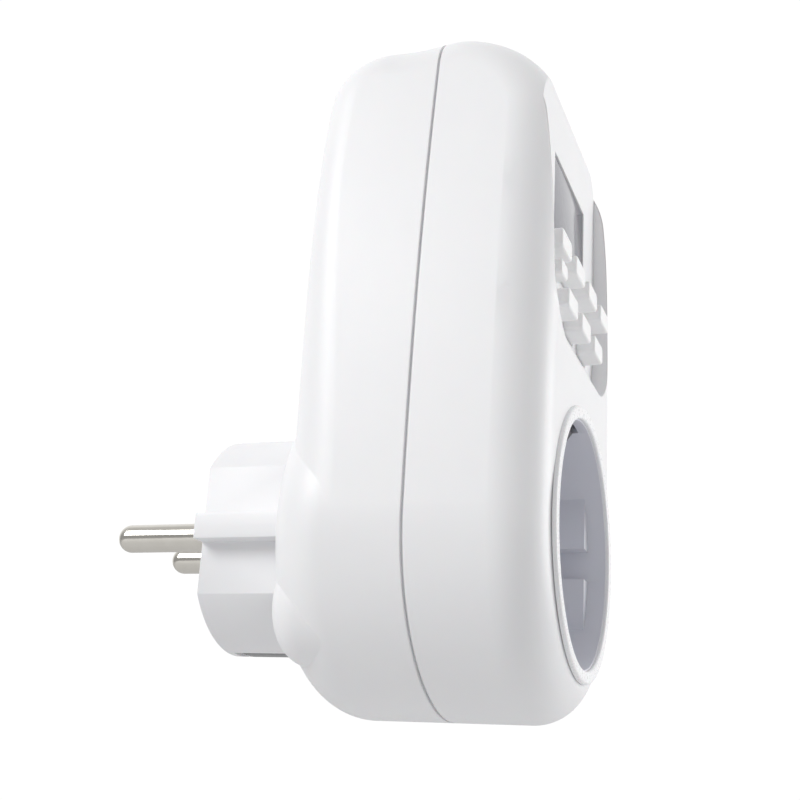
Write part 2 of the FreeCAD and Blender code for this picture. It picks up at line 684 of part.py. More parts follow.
def socket_floor():
    """The well's floor: its face is a spigot inside the wall, and the lower screws pull on its lugs."""
    gap = dim("fit_gap")
    disc = rod("floor_disc", WELL_OUTER_R, FLOOR_BACK_Y - FLOOR_SEAT_Y, y=FLOOR_SEAT_Y)
    spigot = common("floor_spigot", rod("spigot_round", WELL_R - gap, dim("well_floor"), y=FLOOR_FRONT_Y),
                    box("spigot_flats", dim("well_flats") - gap * 2, dim("well_floor"), dim("well_dia"),
                        y=FLOOR_FRONT_Y, z=-WELL_R))
    reach = LUG_Y - FLOOR_SEAT_Y
    room = rod("lug_room", HALF_WIDTH - dim("shell_wall") - gap, reach, y=FLOOR_SEAT_Y)
    lugs = []
    for side in (-1, 1):
        lugs.append(rod(f"floor_lug_{side + 1}", BOSS_R, reach,
                        LOWER_SCREW_X * side, FLOOR_SEAT_Y, LOWER_SCREW_Z))
        lugs.append(screw_web(f"floor_web_{side + 1}", side, FLOOR_SEAT_Y, FLOOR_BACK_Y - FLOOR_SEAT_Y))
    tools = clip_slots("floor")
    for side in (-1, 1):
        tools.append(rod(f"floor_pin_hole_{side + 1}", dim("pin_hole_dia") / 2, dim("well_floor") + 2.0,
                         PIN_X * side, FLOOR_FRONT_Y - 1.0))
        tools.append(rod(f"floor_pilot_{side + 1}", dim("screw_dia") / 2, reach,
                         LOWER_SCREW_X * side, FLOOR_SEAT_Y + 1.0, LOWER_SCREW_Z))
    solid = fuse("floor_solid", disc, spigot, common("floor_lugs", fuse("floor_lugs_full", *lugs), room))
    return cut("socket_floor", solid, *tools)


def socket_rim():
    """The thin raised ring round the socket's mouth."""
    plain = ring("rim_plain", WELL_R + dim("rim_width"), WELL_R + 0.2, dim("rim_proud"),
                 FRONT_Y - dim("rim_proud"))
    return rounded("socket_rim", plain,
                   [(lambda e: e.BoundBox.YMax < (FRONT_Y - dim("rim_proud")).value + 0.01
                     and e.BoundBox.XLength > 1, dim("rim_proud").value * 0.45)])


def socket_earth_clips():
    """Sprung earth clips above and below the well, on one bracket behind its floor."""
    run = WELL_R + 0.3
    nose_z = WELL_R - dim("clip_nose")
    mouth_y = CLIP_MOUTH_Y
    profile = [(BRACKET_BACK_Y, run + GAUGE), (FRONT_Y + 9.0, run + GAUGE), (FRONT_Y + 5.0, nose_z + GAUGE),
               (mouth_y, run - 0.6 + GAUGE * 0.7), (mouth_y, run - 0.6),
               (FRONT_Y + 4.6, nose_z), (FRONT_Y + 5.4, nose_z), (FRONT_Y + 9.2, run), (BRACKET_BACK_Y, run)]
    upper = prism("clip_upper", "YZ_Plane", profile, dim("clip_width"), both_ways=True)
    lower = prism("clip_lower", "YZ_Plane", [(y, -z) for y, z in profile], dim("clip_width"), both_ways=True)
    bar = box("clip_bar", dim("clip_width"), GAUGE, (run + GAUGE) * 2, y=FLOOR_BACK_Y, z=-(run + GAUGE))
    return fuse("socket_earth_clips", upper, lower, bar)


def earth_link():
    """The strip that joins the socket's earth bracket to the plug's earth strap."""
    low = WELL_R + 0.3 + GAUGE
    return box("earth_link", dim("strap_width"), STRAP_BAR_Y - FLOOR_BACK_Y, GAUGE,
               y=FLOOR_BACK_Y, z=low)


def shutter():
    """The child-safety disc: turned by pins pushed in together, and sprung shut."""
    disc = rod("shutter_disc", dim("shutter_dia") / 2, dim("shutter_gauge"), y=SHUTTER_Y)
    tools = [rod("shutter_bore", 2.3, dim("shutter_gauge") + 2.0, y=SHUTTER_Y - 1.0)]
    turn = math.radians(DRIVING["shutter_turn"])
    for side in (-1, 1):
        tools.append(rod(f"shutter_hole_{side + 1}", dim("pin_hole_dia") / 2, dim("shutter_gauge") + 2.0,
                         PIN_X * (side * round(math.cos(turn), 6)), SHUTTER_Y - 1.0,
                         PIN_X * (side * round(math.sin(turn), 6))))
    return cut("shutter", disc, *tools)


def contact_block():
    """The insulating block behind the shutter, with a chamber for each contact and a pivot."""
    blank = rod("block_blank", dim("block_dia") / 2, BLOCK_DEPTH, y=BLOCK_Y)
    post = rod("block_post", 2.1, dim("shutter_gauge") + dim("fit_gap") * 1.5, y=SHUTTER_Y)
    tools = []
    for side in (-1, 1):
        tools.append(rod(f"block_chamber_{side + 1}", dim("contact_dia") / 2 + 0.5, BLOCK_DEPTH - 1.5,
                         PIN_X * side, BLOCK_Y - 0.5))
        tools.append(box(f"block_slot_{side + 1}", 1.4, 4.0, 5.4, x=PIN_X * side,
                         y=BLOCK_BACK_Y - 3.0, z=-2.7))
    tools.append(ring("block_spring_groove", size(4.2), size(2.8), 1.6, BLOCK_Y - 0.2))
    return cut("contact_block", fuse("block_solid", blank, post), *tools)


def shutter_spring():
    """The small coil that turns the shutter shut, in a groove round the pivot."""
    coils = []
    for turn in range(2):
        coil = doc.addObject("Part::Torus", f"spring_coil_{turn}")
        coil.Radius1 = 3.5
        coil.Radius2 = 0.28
        coils.append(place(coil, 0.0, BLOCK_Y + 0.4 + turn * 0.5, 0.0, ALONG_Y))
    return fuse("shutter_spring", *coils)


def contact(name, side):
    """A split tube that grips a pin, with a tail through the block's back wall."""
    x = PIN_X * side
    tube = cut(f"{name}_tube",
               rod(f"{name}_outer", dim("contact_dia") / 2, CONTACT_LENGTH, x, BLOCK_Y + 0.5),
               rod(f"{name}_inner", dim("pin_dia") / 2 + 0.1, CONTACT_LENGTH - 1.0, x, BLOCK_Y - 0.5),
               box(f"{name}_split", 0.8, CONTACT_LENGTH - 1.5, dim("contact_dia") + 2.0,
                   x=x, y=BLOCK_Y, z=-dim("contact_dia") / 2 - 1.0))
    tail = box(f"{name}_tail", 1.0, BLOCK_BACK_Y + 1.0 - BLOCK_Y - CONTACT_LENGTH, 5.0,
               x=x, y=BLOCK_Y + CONTACT_LENGTH, z=-2.5)
    return fuse(name, tube, tail)


def bus_bar(name, side, start, end):
    """A flat brass bar between a contact and a pin."""
    return box(name, dim("bus_gauge"), size(end) - start, dim("bus_width"),
               x=PIN_X * side, y=start, z=-dim("bus_width") / 2)


def shunt(start):
    """The resistance strip that the current is measured across."""
    return box("shunt", dim("bus_gauge") * 0.6, dim("shunt_length"), dim("bus_width"),
               x=PIN_X, y=start, z=-dim("bus_width") / 2)


# ---------------------------------------------------------------- display and keys
def lcd_parts():
    """The window, the display cell behind it, its frame and its contact strip."""
    glass = box("lcd_window", dim("glass_width") - 0.1, dim("glass_gauge"), dim("glass_height") - 0.1,
                y=PANEL_FRONT_Y + 0.25, z=dim("glass_bottom") + 0.05)
    low = LCD_LOW
    rim = dim("lcd_frame_rim")
    cell = box("lcd_cell", dim("lcd_width"), dim("lcd_gauge"), dim("lcd_height"), y=LCD_Y, z=low)
    frame = cut("lcd_frame",
                box("lcd_frame_block", dim("lcd_width") + rim * 2, KEY_BOARD_Y - LCD_Y,
                    dim("lcd_height") + rim * 2, y=LCD_Y, z=low - rim),
                box("lcd_frame_room", dim("lcd_width") + 0.2, KEY_BOARD_Y - LCD_Y + 2.0,
                    dim("lcd_height") + 0.2, y=LCD_Y - 1.0, z=low - 0.1))
    strip = box("contact_strip", dim("lcd_width") - 3.0, KEY_BOARD_Y - LCD_Y - dim("lcd_gauge"), 2.0,
                y=LCD_Y + dim("lcd_gauge"), z=low + 0.6)
    return glass, cell, frame, strip


KEY_FLANGE = 0.8


def rectangle(half_x, half_z):
    """The corners of a rectangle about the origin."""
    return [(-half_x, -half_z), (half_x, -half_z), (half_x, half_z), (-half_x, half_z)]


def key(name, wide, tall, x, z):
    """A key: a rounded cap through the panel and a flange that keeps it in."""
    cap_deep = dim("key_proud") + dim("panel_wall") + 0.3
    body = doc.addObject("PartDesign::Body", name)
    sketch = new_sketch(body, f"{name}_sketch", "XZ_Plane")
    polygon(sketch, rectangle(wide / 2, tall / 2))
    cap = padded(body, sketch, cap_deep)
    doc.recompute()
    upright = [f"Edge{n}" for n, e in enumerate(cap.Shape.Edges, start=1) if e.BoundBox.YLength > 1]
    corners = body.newObject("PartDesign::Fillet", f"{name}_corners")
    corners.Base = (cap, upright)
    corners.Radius = 0.7
    doc.recompute()
    front = -cap_deep.value
    rim = [f"Edge{n}" for n, e in enumerate(corners.Shape.Edges, start=1)
           if e.BoundBox.YMax < front + 0.01]
    soft = body.newObject("PartDesign::Fillet", f"{name}_soft")
    soft.Base = (corners, rim)
    soft.Radius = 0.35
    flange = new_sketch(body, f"{name}_flange_sketch", "XZ_Plane")
    polygon(flange, rectangle(wide / 2 + dim("key_lip"), tall / 2 + dim("key_lip")))
    padded(body, flange, KEY_FLANGE, back=True)
    return place(body, x, PANEL_BACK_Y + 0.1, z)


def key_board_and_mat():
    """The key board, and the rubber mat on it with one dome behind each key."""
    low = dim("panel_bottom") + 2.5
    top = dim("board_top") + 1.0
    board = box("key_board", dim("board_width"), dim("key_board_gauge"), top - low, y=KEY_BOARD_Y, z=low)
    mat_top = LCD_LOW - dim("lcd_frame_rim") - dim("fit_gap")
    sheet_ = box("key_mat_sheet", dim("board_width"), 0.8, mat_top - low, y=KEY_BOARD_Y - 0.8, z=low)
    stand = PANEL_BACK_Y + 0.1 + KEY_FLANGE + dim("key_travel") + 0.05
    domes = [rod(f"{name}_dome", 1.2, KEY_BOARD_Y - 0.7 - stand, x, stand, z)
             for name, (x, z) in list(KEYS.items()) + [("key_reset", RESET_AT)]]
    return board, fuse("key_mat", sheet_, *domes)


# ---------------------------------------------------------------- main board
def main_board():
    """The main board, and the pin header that joins it to the key board."""
    low = dim("board_bottom")
    board = box("main_board", dim("board_width"), dim("board_gauge"), dim("board_top") - low,
                y=BOARD_FRONT_Y, z=low)
    link = box("board_link", 12.0, BOARD_FRONT_Y - KEY_BOARD_BACK_Y, 2.5,
               x=-9.0, y=KEY_BOARD_BACK_Y, z=low + 32.0)
    return board, link


def fuse_link(low):
    """A glass fuse that lies across the board in two soldered caps."""
    axis_y = BOARD_BACK_Y + 4.0
    pieces = [rod("fuse_glass", 2.5, 12.0, -14.0, axis_y, low, ALONG_X)]
    for number, x in enumerate((-16.0, -4.0)):
        pieces.append(rod(f"fuse_cap_{number}", 2.8, 4.0, x, axis_y, low, ALONG_X))
        pieces.append(box(f"fuse_leg_{number}", 3.0, 3.0, 3.0, x=x + 2.0, y=BOARD_BACK_Y, z=low - 1.5))
    return fuse("fuse", *pieces)


def back_side_parts():
    """What stands on the back of the main board, on the mains side."""
    low = dim("board_bottom")
    film = box("film_capacitor", 18.0, 8.0, 13.0, x=-7.0, y=BOARD_BACK_Y, z=low + 22.0)
    can_end = BOARD_BACK_Y + dim("can_length")
    can = rod("bulk_capacitor_can", dim("can_dia") / 2, dim("can_length"), 8.5, BOARD_BACK_Y, low + 30.0)
    bulk = rounded("bulk_capacitor", can,
                   [(lambda e: e.BoundBox.YMin > can_end.value - 1.0 and e.BoundBox.XLength > 1, 0.8)])
    varistor = fuse("varistor", rod("varistor_disc", 4.5, 3.6, 8.0, BOARD_BACK_Y + 6.0, low + 17.0, ALONG_X),
                    box("varistor_foot", 3.0, 6.0, 5.0, x=9.8, y=BOARD_BACK_Y, z=low + 14.5))
    return film, bulk, varistor, fuse_link(low + 12.0)


def front_side_parts():
    """What stands on the front of the main board, on the metering side."""
    low = dim("board_bottom")
    chip = box("metering_chip", 10.0, 1.8, 7.5, x=-6.0, y=BOARD_FRONT_Y - 1.8, z=low + 8.0)
    crystal = box("crystal", 10.5, 3.6, 4.2, x=9.0, y=BOARD_FRONT_Y - 3.6, z=low + 9.0)
    middle_x, middle_z = 8.0, low + 27.0
    cell_r = dim("cell_dia") / 2
    first_y = BOARD_FRONT_Y - dim("fit_gap") - dim("cell_gauge")
    cells = [rod(f"cell_{n}", cell_r, dim("cell_gauge"), middle_x, first_y - CELL_PITCH * n, middle_z)
             for n in (0, 1)]
    stack = dim("cell_gauge") + CELL_PITCH + dim("fit_gap") * 2
    cheeks = [box(f"cell_holder_{side + 1}", 3.2, stack, 15.0, x=(cell_r + 1.6) * side + middle_x,
                  y=BOARD_FRONT_Y - stack, z=middle_z - 7.5) for side in (-1, 1)]
    bridge = box("cell_holder_bridge", cell_r * 2 + 6.4, stack, 2.0, x=middle_x,
                 y=BOARD_FRONT_Y - stack, z=middle_z - cell_r - dim("fit_gap") - 2.0)
    return chip, crystal, group("backup_cells", *cells), fuse("cell_holder", bridge, *cheeks)


def feed_wire(name, side):
    """An insulated wire from a bus bar, up and forward into the main board."""
    x = PIN_X * side
    y = BLOCK_BACK_Y + 1.1
    radius = dim("wire_dia") / 2
    top = dim("board_bottom") + 4.0
    low = dim("bus_width") / 2
    rise = rod(f"{name}_rise", radius, top - low, x, y, low, FreeCAD.Rotation())
    bend = ball(f"{name}_bend", radius, x, y, top)
    run = rod(f"{name}_run", radius, y - BOARD_BACK_Y, x, BOARD_BACK_Y, top)
    return fuse(name, rise, bend, run)


def screw(name, x, z, seat, length):
    """A pan-head screw with its head towards the back and a cross recess in it."""
    deep = 1.0
    long, thick = 3.4, 0.8
    shank = rod(f"{name}_shank", dim("screw_dia") / 2 - 0.05, length, x, seat - length, z)
    head = rod(f"{name}_head", dim("screw_head_dia") / 2, dim("screw_head"), x, seat, z)
    recess_y = seat + dim("screw_head") - deep + 0.1
    upright = box(f"{name}_slot_a", thick, deep, long, x=x, y=recess_y, z=z - long / 2)
    across = box(f"{name}_slot_b", long, deep, thick, x=x, y=recess_y, z=z - thick / 2)
    return cut(name, fuse(f"{name}_blank", shank, head), upright, across)


def screws():
    """The four housing screws."""
    pieces = []
    for name, x, z in screw_places():
        seat = screw_seat(name)
        bite = seat - LUG_Y + 6.0 if name.startswith("low") else seat - SEAM_Y + 8.0
        pieces.append(screw(f"housing_screw_{name}", x, z, seat, bite))
    return group("housing_screws", *pieces)


def build_all():
    """Every sub-part, in the order it goes together."""
    parts = [front_shell(), rear_shell(), plug_body(), pin("pin_line", -1), pin("pin_neutral", 1),
             plug_earth_strap(), socket_well(), socket_floor(), socket_rim(),
             socket_earth_clips(), earth_link(), shutter(), shutter_spring(), contact_block(),
             contact("contact_line", -1), contact("contact_neutral", 1)]
    shunt_start = (BUS_START_Y + BUS_END_Y) / 2 - dim("shunt_length") / 2
    shunt_end = shunt_start + dim("shunt_length")
    parts.append(bus_bar("bus_line", -1, BUS_START_Y, BUS_END_Y))
    parts.append(bus_bar("bus_neutral", 1, BUS_START_Y, shunt_start))
    parts.append(shunt(shunt_start))
    parts.append(bus_bar("bus_neutral_pin", 1, shunt_end, BUS_END_Y))
    parts.extend(lcd_parts())
    parts.extend(key_board_and_mat())
    for name, (x, z) in KEYS.items():
        parts.append(key(name, dim("key_width"), dim("key_height"), x, z))
    parts.append(key("key_reset", dim("reset_width"), dim("reset_height"), *RESET_AT))
    parts.extend(main_board())
    parts.extend(back_side_parts())
    parts.extend(front_side_parts())
    parts.append(feed_wire("wire_line", -1))
    parts.append(feed_wire("wire_neutral", 1))
    parts.append(screws())
    parts.append(box("rating_plate", 26.0, 0.25, 26.0, y=UPPER_BACK_Y, z=PLUG_R + 12.5))
    return parts


parts = build_all()
doc.recompute()
failed = [thing.Name for thing in doc.Objects if "Invalid" in thing.State or "Error" in thing.State]
if failed:
    raise RuntimeError(f"these objects failed: {failed}")
for part in parts:
    if part.Shape.isNull() or not part.Shape.isValid():
        raise RuntimeError(f"{part.Name} has no valid shape")
    part.Label = part.Name
os.makedirs("parts", exist_ok=True)
for part in parts:
    part.Shape.exportStep(f"parts/{part.Label}.step")
    print(f"{part.Label}: {len(part.Shape.Solids)} solid(s), {part.Shape.Volume:.0f} mm3")
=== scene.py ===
"""A plug-in power meter, dressed around its fixed frame.

The frame gives every sub-part its place. The pieces that show are modelled here by hand, and the rest
keep their own shapes and take a finish. Everything is in metres: +Z up, pins towards +Y, socket and
display towards -Y.
"""

import logging
import math
from collections.abc import Callable, Sequence
from dataclasses import dataclass
from enum import Enum

import bmesh
import bpy
from mathutils import Matrix, Vector


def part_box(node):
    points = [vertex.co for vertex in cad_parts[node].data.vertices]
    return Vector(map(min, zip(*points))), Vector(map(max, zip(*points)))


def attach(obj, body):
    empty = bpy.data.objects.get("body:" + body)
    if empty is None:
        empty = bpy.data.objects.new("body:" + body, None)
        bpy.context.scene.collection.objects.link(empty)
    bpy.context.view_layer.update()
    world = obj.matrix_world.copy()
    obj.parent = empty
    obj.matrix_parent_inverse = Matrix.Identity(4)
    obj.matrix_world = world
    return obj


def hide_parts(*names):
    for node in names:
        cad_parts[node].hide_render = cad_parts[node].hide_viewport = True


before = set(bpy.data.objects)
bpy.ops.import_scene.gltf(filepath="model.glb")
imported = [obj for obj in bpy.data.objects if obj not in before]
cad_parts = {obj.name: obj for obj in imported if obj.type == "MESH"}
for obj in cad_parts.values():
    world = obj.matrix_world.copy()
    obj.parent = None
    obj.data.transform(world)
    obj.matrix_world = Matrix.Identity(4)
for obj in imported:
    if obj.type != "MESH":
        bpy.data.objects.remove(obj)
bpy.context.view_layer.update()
LOG = logging.getLogger("power_meter")
MM = 0.001

# Points closer than this are welded into one.
WELD = 0.002 * MM
# Half the distance between the pins of an earthed two-pin plug, and the radius of the holes that take them.
PIN_X = 9.5 * MM
HOLE_RADIUS = 2.8 * MM


# ---------------------------------------------------------------- finishes
def linear(colour: str) -> tuple[float, float, float, float]:
    """Turn an sRGB hex colour into the linear one that shaders take.

    Args:
        colour: Six hex digits with a leading hash.

    Returns:
        Red, green, blue and an alpha of one.
    """
    levels = [int(colour[i:i + 2], 16) / 255 for i in (1, 3, 5)]
    return (*[v / 12.92 if v <= 0.04045 else ((v + 0.055) / 1.055) ** 2.4 for v in levels], 1.0)


def add_node(tree: bpy.types.NodeTree, kind: str, settings: dict | None = None,
             links: dict | None = None) -> bpy.types.Node:
    """Add one shader node with its settings and links.

    Args:
        tree: The node tree it goes in.
        kind: Blender's name for the node's type.
        settings: Values by property or input name, or by input number, in the order they are set.
        links: The output socket that feeds each input.

    Returns:
        The node.
    """
    node = tree.nodes.new(kind)
    for key, value in (settings or {}).items():
        if isinstance(key, str) and hasattr(node, key):
            setattr(node, key, value)
        else:
            node.inputs[key].default_value = value
    for key, socket in (links or {}).items():
        tree.links.new(socket, node.inputs[key])
    return node


class Recipe:
    """A material while its nodes are being joined.

    Attributes:
        material: The material.
        tree: Its node tree.
        place: The socket that gives the place on the piece, in metres.
    """

    def __init__(self, name: str) -> None:
        """Start a material with an empty node tree.

        Args:
            name: The material's name.
        """
        self.material = bpy.data.materials.new(name)
        self.material.use_nodes = True
        self.tree = self.material.node_tree
        self.tree.nodes.clear()
        self.place = add_node(self.tree, "ShaderNodeTexCoord").outputs["Object"]

    def noise(self, size: float, detail: float,
              place: bpy.types.NodeSocket | None = None) -> bpy.types.NodeSocket:
        """Soft noise between zero and one.

        Args:
            size: Size of its patches.
            detail: How many finer layers lie over them.
            place: Where it is read, if not at the plain place.

        Returns:
            The noise.
        """
        where = self.place if place is None else place
        settings = {"Scale": 1 / size, "Detail": detail}
        return add_node(self.tree, "ShaderNodeTexNoise", settings, {"Vector": where}).outputs["Fac"]

    def tint(self, colour: str, shade: str, share: bpy.types.NodeSocket) -> bpy.types.NodeSocket:
        """A colour that turns into a second one.

        Args:
            colour: The colour where the share is zero.
            shade: The colour where it is one.
            share: The share of the second colour.

        Returns:
            The mixed colour.
        """
        settings = {"data_type": "RGBA", 6: linear(colour), 7: linear(shade)}
        return add_node(self.tree, "ShaderNodeMix", settings, {0: share}).outputs[2]

    def spread(self, low: float, high: float, share: bpy.types.NodeSocket, start: float = 0.0,
               end: float = 1.0) -> bpy.types.NodeSocket:
        """A value that runs from low to high.

        Args:
            low: The value at the start.
            high: The value at the end.
            share: What drives it.
            start: The share where it starts to rise.
            end: The share where it is at its highest.

        Returns:
            The value.
        """
        settings = {"From Min": start, "From Max": end, "To Min": low, "To Max": high}
        return add_node(self.tree, "ShaderNodeMapRange", settings, {"Value": share}).outputs["Result"]

    def relief(self, strength: float, depth: float, height: bpy.types.NodeSocket,
               edge: float = 0.0) -> bpy.types.NodeSocket:
        """A raised pattern, over edges that light sees as rounded.

        Args:
            strength: How much of it shows.
            depth: Its full height.
            height: The pattern.
            edge: Radius of the rounded edges, or zero for none.

        Returns:
            The direction that each place faces.
        """
        links = {"Height": height}
        if edge:
            rounding = add_node(self.tree, "ShaderNodeBevel", {"samples": 6, "Radius": edge})
            links["Normal"] = rounding.outputs["Normal"]
        settings = {"Strength": strength, "Distance": depth}
        return add_node(self.tree, "ShaderNodeBump", settings, links).outputs["Normal"]

    def close(self, settings: dict[str, float], links: dict[str, bpy.types.NodeSocket]) -> bpy.types.Material:
        """Join everything to the shader and the output.

        Args:
            settings: The shader's plain values.
            links: What feeds its other inputs.

        Returns:
            The finished material.
        """
        shader = add_node(self.tree, "ShaderNodeBsdfPrincipled", settings, links)
        add_node(self.tree, "ShaderNodeOutputMaterial", links={"Surface": shader.outputs[0]})
        return self.material


@dataclass(frozen=True)
class MouldedPlastic:
    """Injection-moulded plastic: a fine spark-eroded grain over a colour that varies slightly with the flow.

    Attributes:
        name: The plastic and how its surface was made.
        slot: The record's slot it stands for.
        colour: The main colour.
        shade: The colour where the melt lay a little thicker.
        roughness: The middle of the roughness.
        grain_mm: Size of the mould's grain.
        grain_depth_mm: Height of the grain.
        edge_mm: How far light rounds a moulded edge.
        glow: Share of light that scatters inside the plastic.
        ior: Index of refraction.
        coat: Weight of a clear skin on top.
    """

    name: str
    slot: str
    colour: str
    shade: str
    roughness: float = 0.42
    grain_mm: float = 0.35
    grain_depth_mm: float = 0.004
    edge_mm: float = 0.0
    glow: float = 0.06
    ior: float = 1.54
    coat: float = 0.0

    def material(self) -> bpy.types.Material:
        """Build the material.

        Returns:
            The finished material.
        """
        recipe = Recipe(self.name)
        # The melt drifts slowly in colour, and the mould's grain scatters the shine.
        flow = recipe.noise(16 * MM, 2.0)
        grain = recipe.noise(self.grain_mm * MM, 3.0)
        return recipe.close(
            {"IOR": self.ior, "Subsurface Weight": self.glow, "Subsurface Scale": 0.4 * MM,
             "Coat Weight": self.coat, "Coat Roughness": 0.12},
            {"Base Color": recipe.tint(self.colour, self.shade, flow),
             "Roughness": recipe.spread(self.roughness - 0.05, self.roughness + 0.05, grain, 0.3, 0.7),
             "Normal": recipe.relief(0.5, self.grain_depth_mm * MM, grain, self.edge_mm * MM)})


class Along(Enum):
    """The way that a metal's rolling or turning lines run."""

    X = (0.04, 1.0, 1.0)
    Y = (1.0, 0.04, 1.0)
    Z = (1.0, 1.0, 0.04)
    NONE = (1.0, 1.0, 1.0)


@dataclass(frozen=True)
class WorkedMetal:
    """Bare or plated metal, with rolling lines and patches that are a little duller.

    Attributes:
        name: The metal and how its surface was made.
        slot: The record's slot it stands for.
        colour: Colour of the clean metal.
        shade: Colour of the duller patches.
        roughness: The middle of the roughness.
        line_mm: Spacing of the rolling lines.
        depth_mm: Depth of the lines.
        along: The way that the lines run.
    """

    name: str
    slot: str
    colour: str
    shade: str
    roughness: float = 0.3
    line_mm: float = 0.12
    depth_mm: float = 0.001
    along: Along = Along.NONE

    def material(self) -> bpy.types.Material:
        """Build the material.

        Returns:
            The finished material.
        """
        recipe = Recipe(self.name)
        # Noise drawn out along the rolling gives the lines, and wider noise the duller patches.
        drawn = add_node(recipe.tree, "ShaderNodeMapping", {"Scale": self.along.value},
                         {"Vector": recipe.place})
        lines = recipe.noise(self.line_mm * MM, 4.0, drawn.outputs["Vector"])
        patches = recipe.noise(3 * MM, 3.0)
        return recipe.close(
            {"Metallic": 1.0},
            {"Base Color": recipe.tint(self.colour, self.shade, patches),
             "Roughness": recipe.spread(self.roughness * 0.75, self.roughness * 1.3, lines, 0.3, 0.7),
             "Normal": recipe.relief(0.4, self.depth_mm * MM, lines)})


@dataclass(frozen=True)
class ClearPlate:
    """Clear glass or acrylic, with the faint waviness and the fine haze of a handled pane.

    Attributes:
        name: The material and how it was made.
        slot: The record's slot it stands for.
        colour: Tint of the light that passes.
        haze: Tint where the pane is a little dirty.
        ior: Index of refraction.
        roughness: The middle of the roughness.
        clear: Share of the light that passes; a smoked pane keeps the rest.
    """

    name: str
    slot: str
    colour: str
    haze: str
    ior: float = 1.49
    roughness: float = 0.05
    clear: float = 1.0

    def material(self) -> bpy.types.Material:
        """Build the material.

        Returns:
            The finished material.
        """
        recipe = Recipe(self.name)
        # One noise is both the haze and the waviness.
        haze = recipe.noise(5 * MM, 4.0)
        return recipe.close(
            {"IOR": self.ior, "Transmission Weight": self.clear},
            {"Base Color": recipe.tint(self.colour, self.haze, haze),
             "Roughness": recipe.spread(self.roughness * 0.6, self.roughness * 1.4, haze),
             "Normal": recipe.relief(0.2, 0.002 * MM, haze)})


@dataclass(frozen=True)
class SolderMask:
    """Green lacquer on a glass-fibre board, raised over the copper tracks under it.

    Attributes:
        name: The lacquer and what it lies on.
        slot: The record's slot it stands for.
        lacquer: Colour over bare board.
        over_copper: Colour over the tracks.
        track_mm: Spacing of the tracks.
        weave_mm: Spacing of the glass weave.
    """

    name: str
    slot: str
    lacquer: str = "#0F4A26"
    over_copper: str = "#1F6B38"
    track_mm: float = 2.4
    weave_mm: float = 0.6

    def material(self) -> bpy.types.Material:
        """Build the material.

        Returns:
            The finished material.
        """
        recipe = Recipe(self.name)
        # The tracks run across the board's face, so the pattern is turned to look along Y.
        facing = add_node(recipe.tree, "ShaderNodeMapping", {"Rotation": (math.radians(90), 0, 0)},
                          {"Vector": recipe.place})
        tracks = add_node(recipe.tree, "ShaderNodeTexBrick",
                          {"Color1": (1, 1, 1, 1), "Color2": (0.8, 0.8, 0.8, 1), "Mortar": (0, 0, 0, 1),
                           "Scale": 1 / (self.track_mm * MM), "Mortar Size": 0.06, "Mortar Smooth": 0.2},
                          {"Vector": facing.outputs["Vector"]}).outputs["Color"]
        weave = recipe.noise(self.weave_mm * MM, 2.0)
        return recipe.close(
            {"IOR": 1.55},
            {"Base Color": recipe.tint(self.lacquer, self.over_copper, tracks),
             "Roughness": recipe.spread(0.22, 0.4, weave),
             "Normal": recipe.relief(0.5, 0.03 * MM, tracks)})


Finish = MouldedPlastic | WorkedMetal | ClearPlate | SolderMask


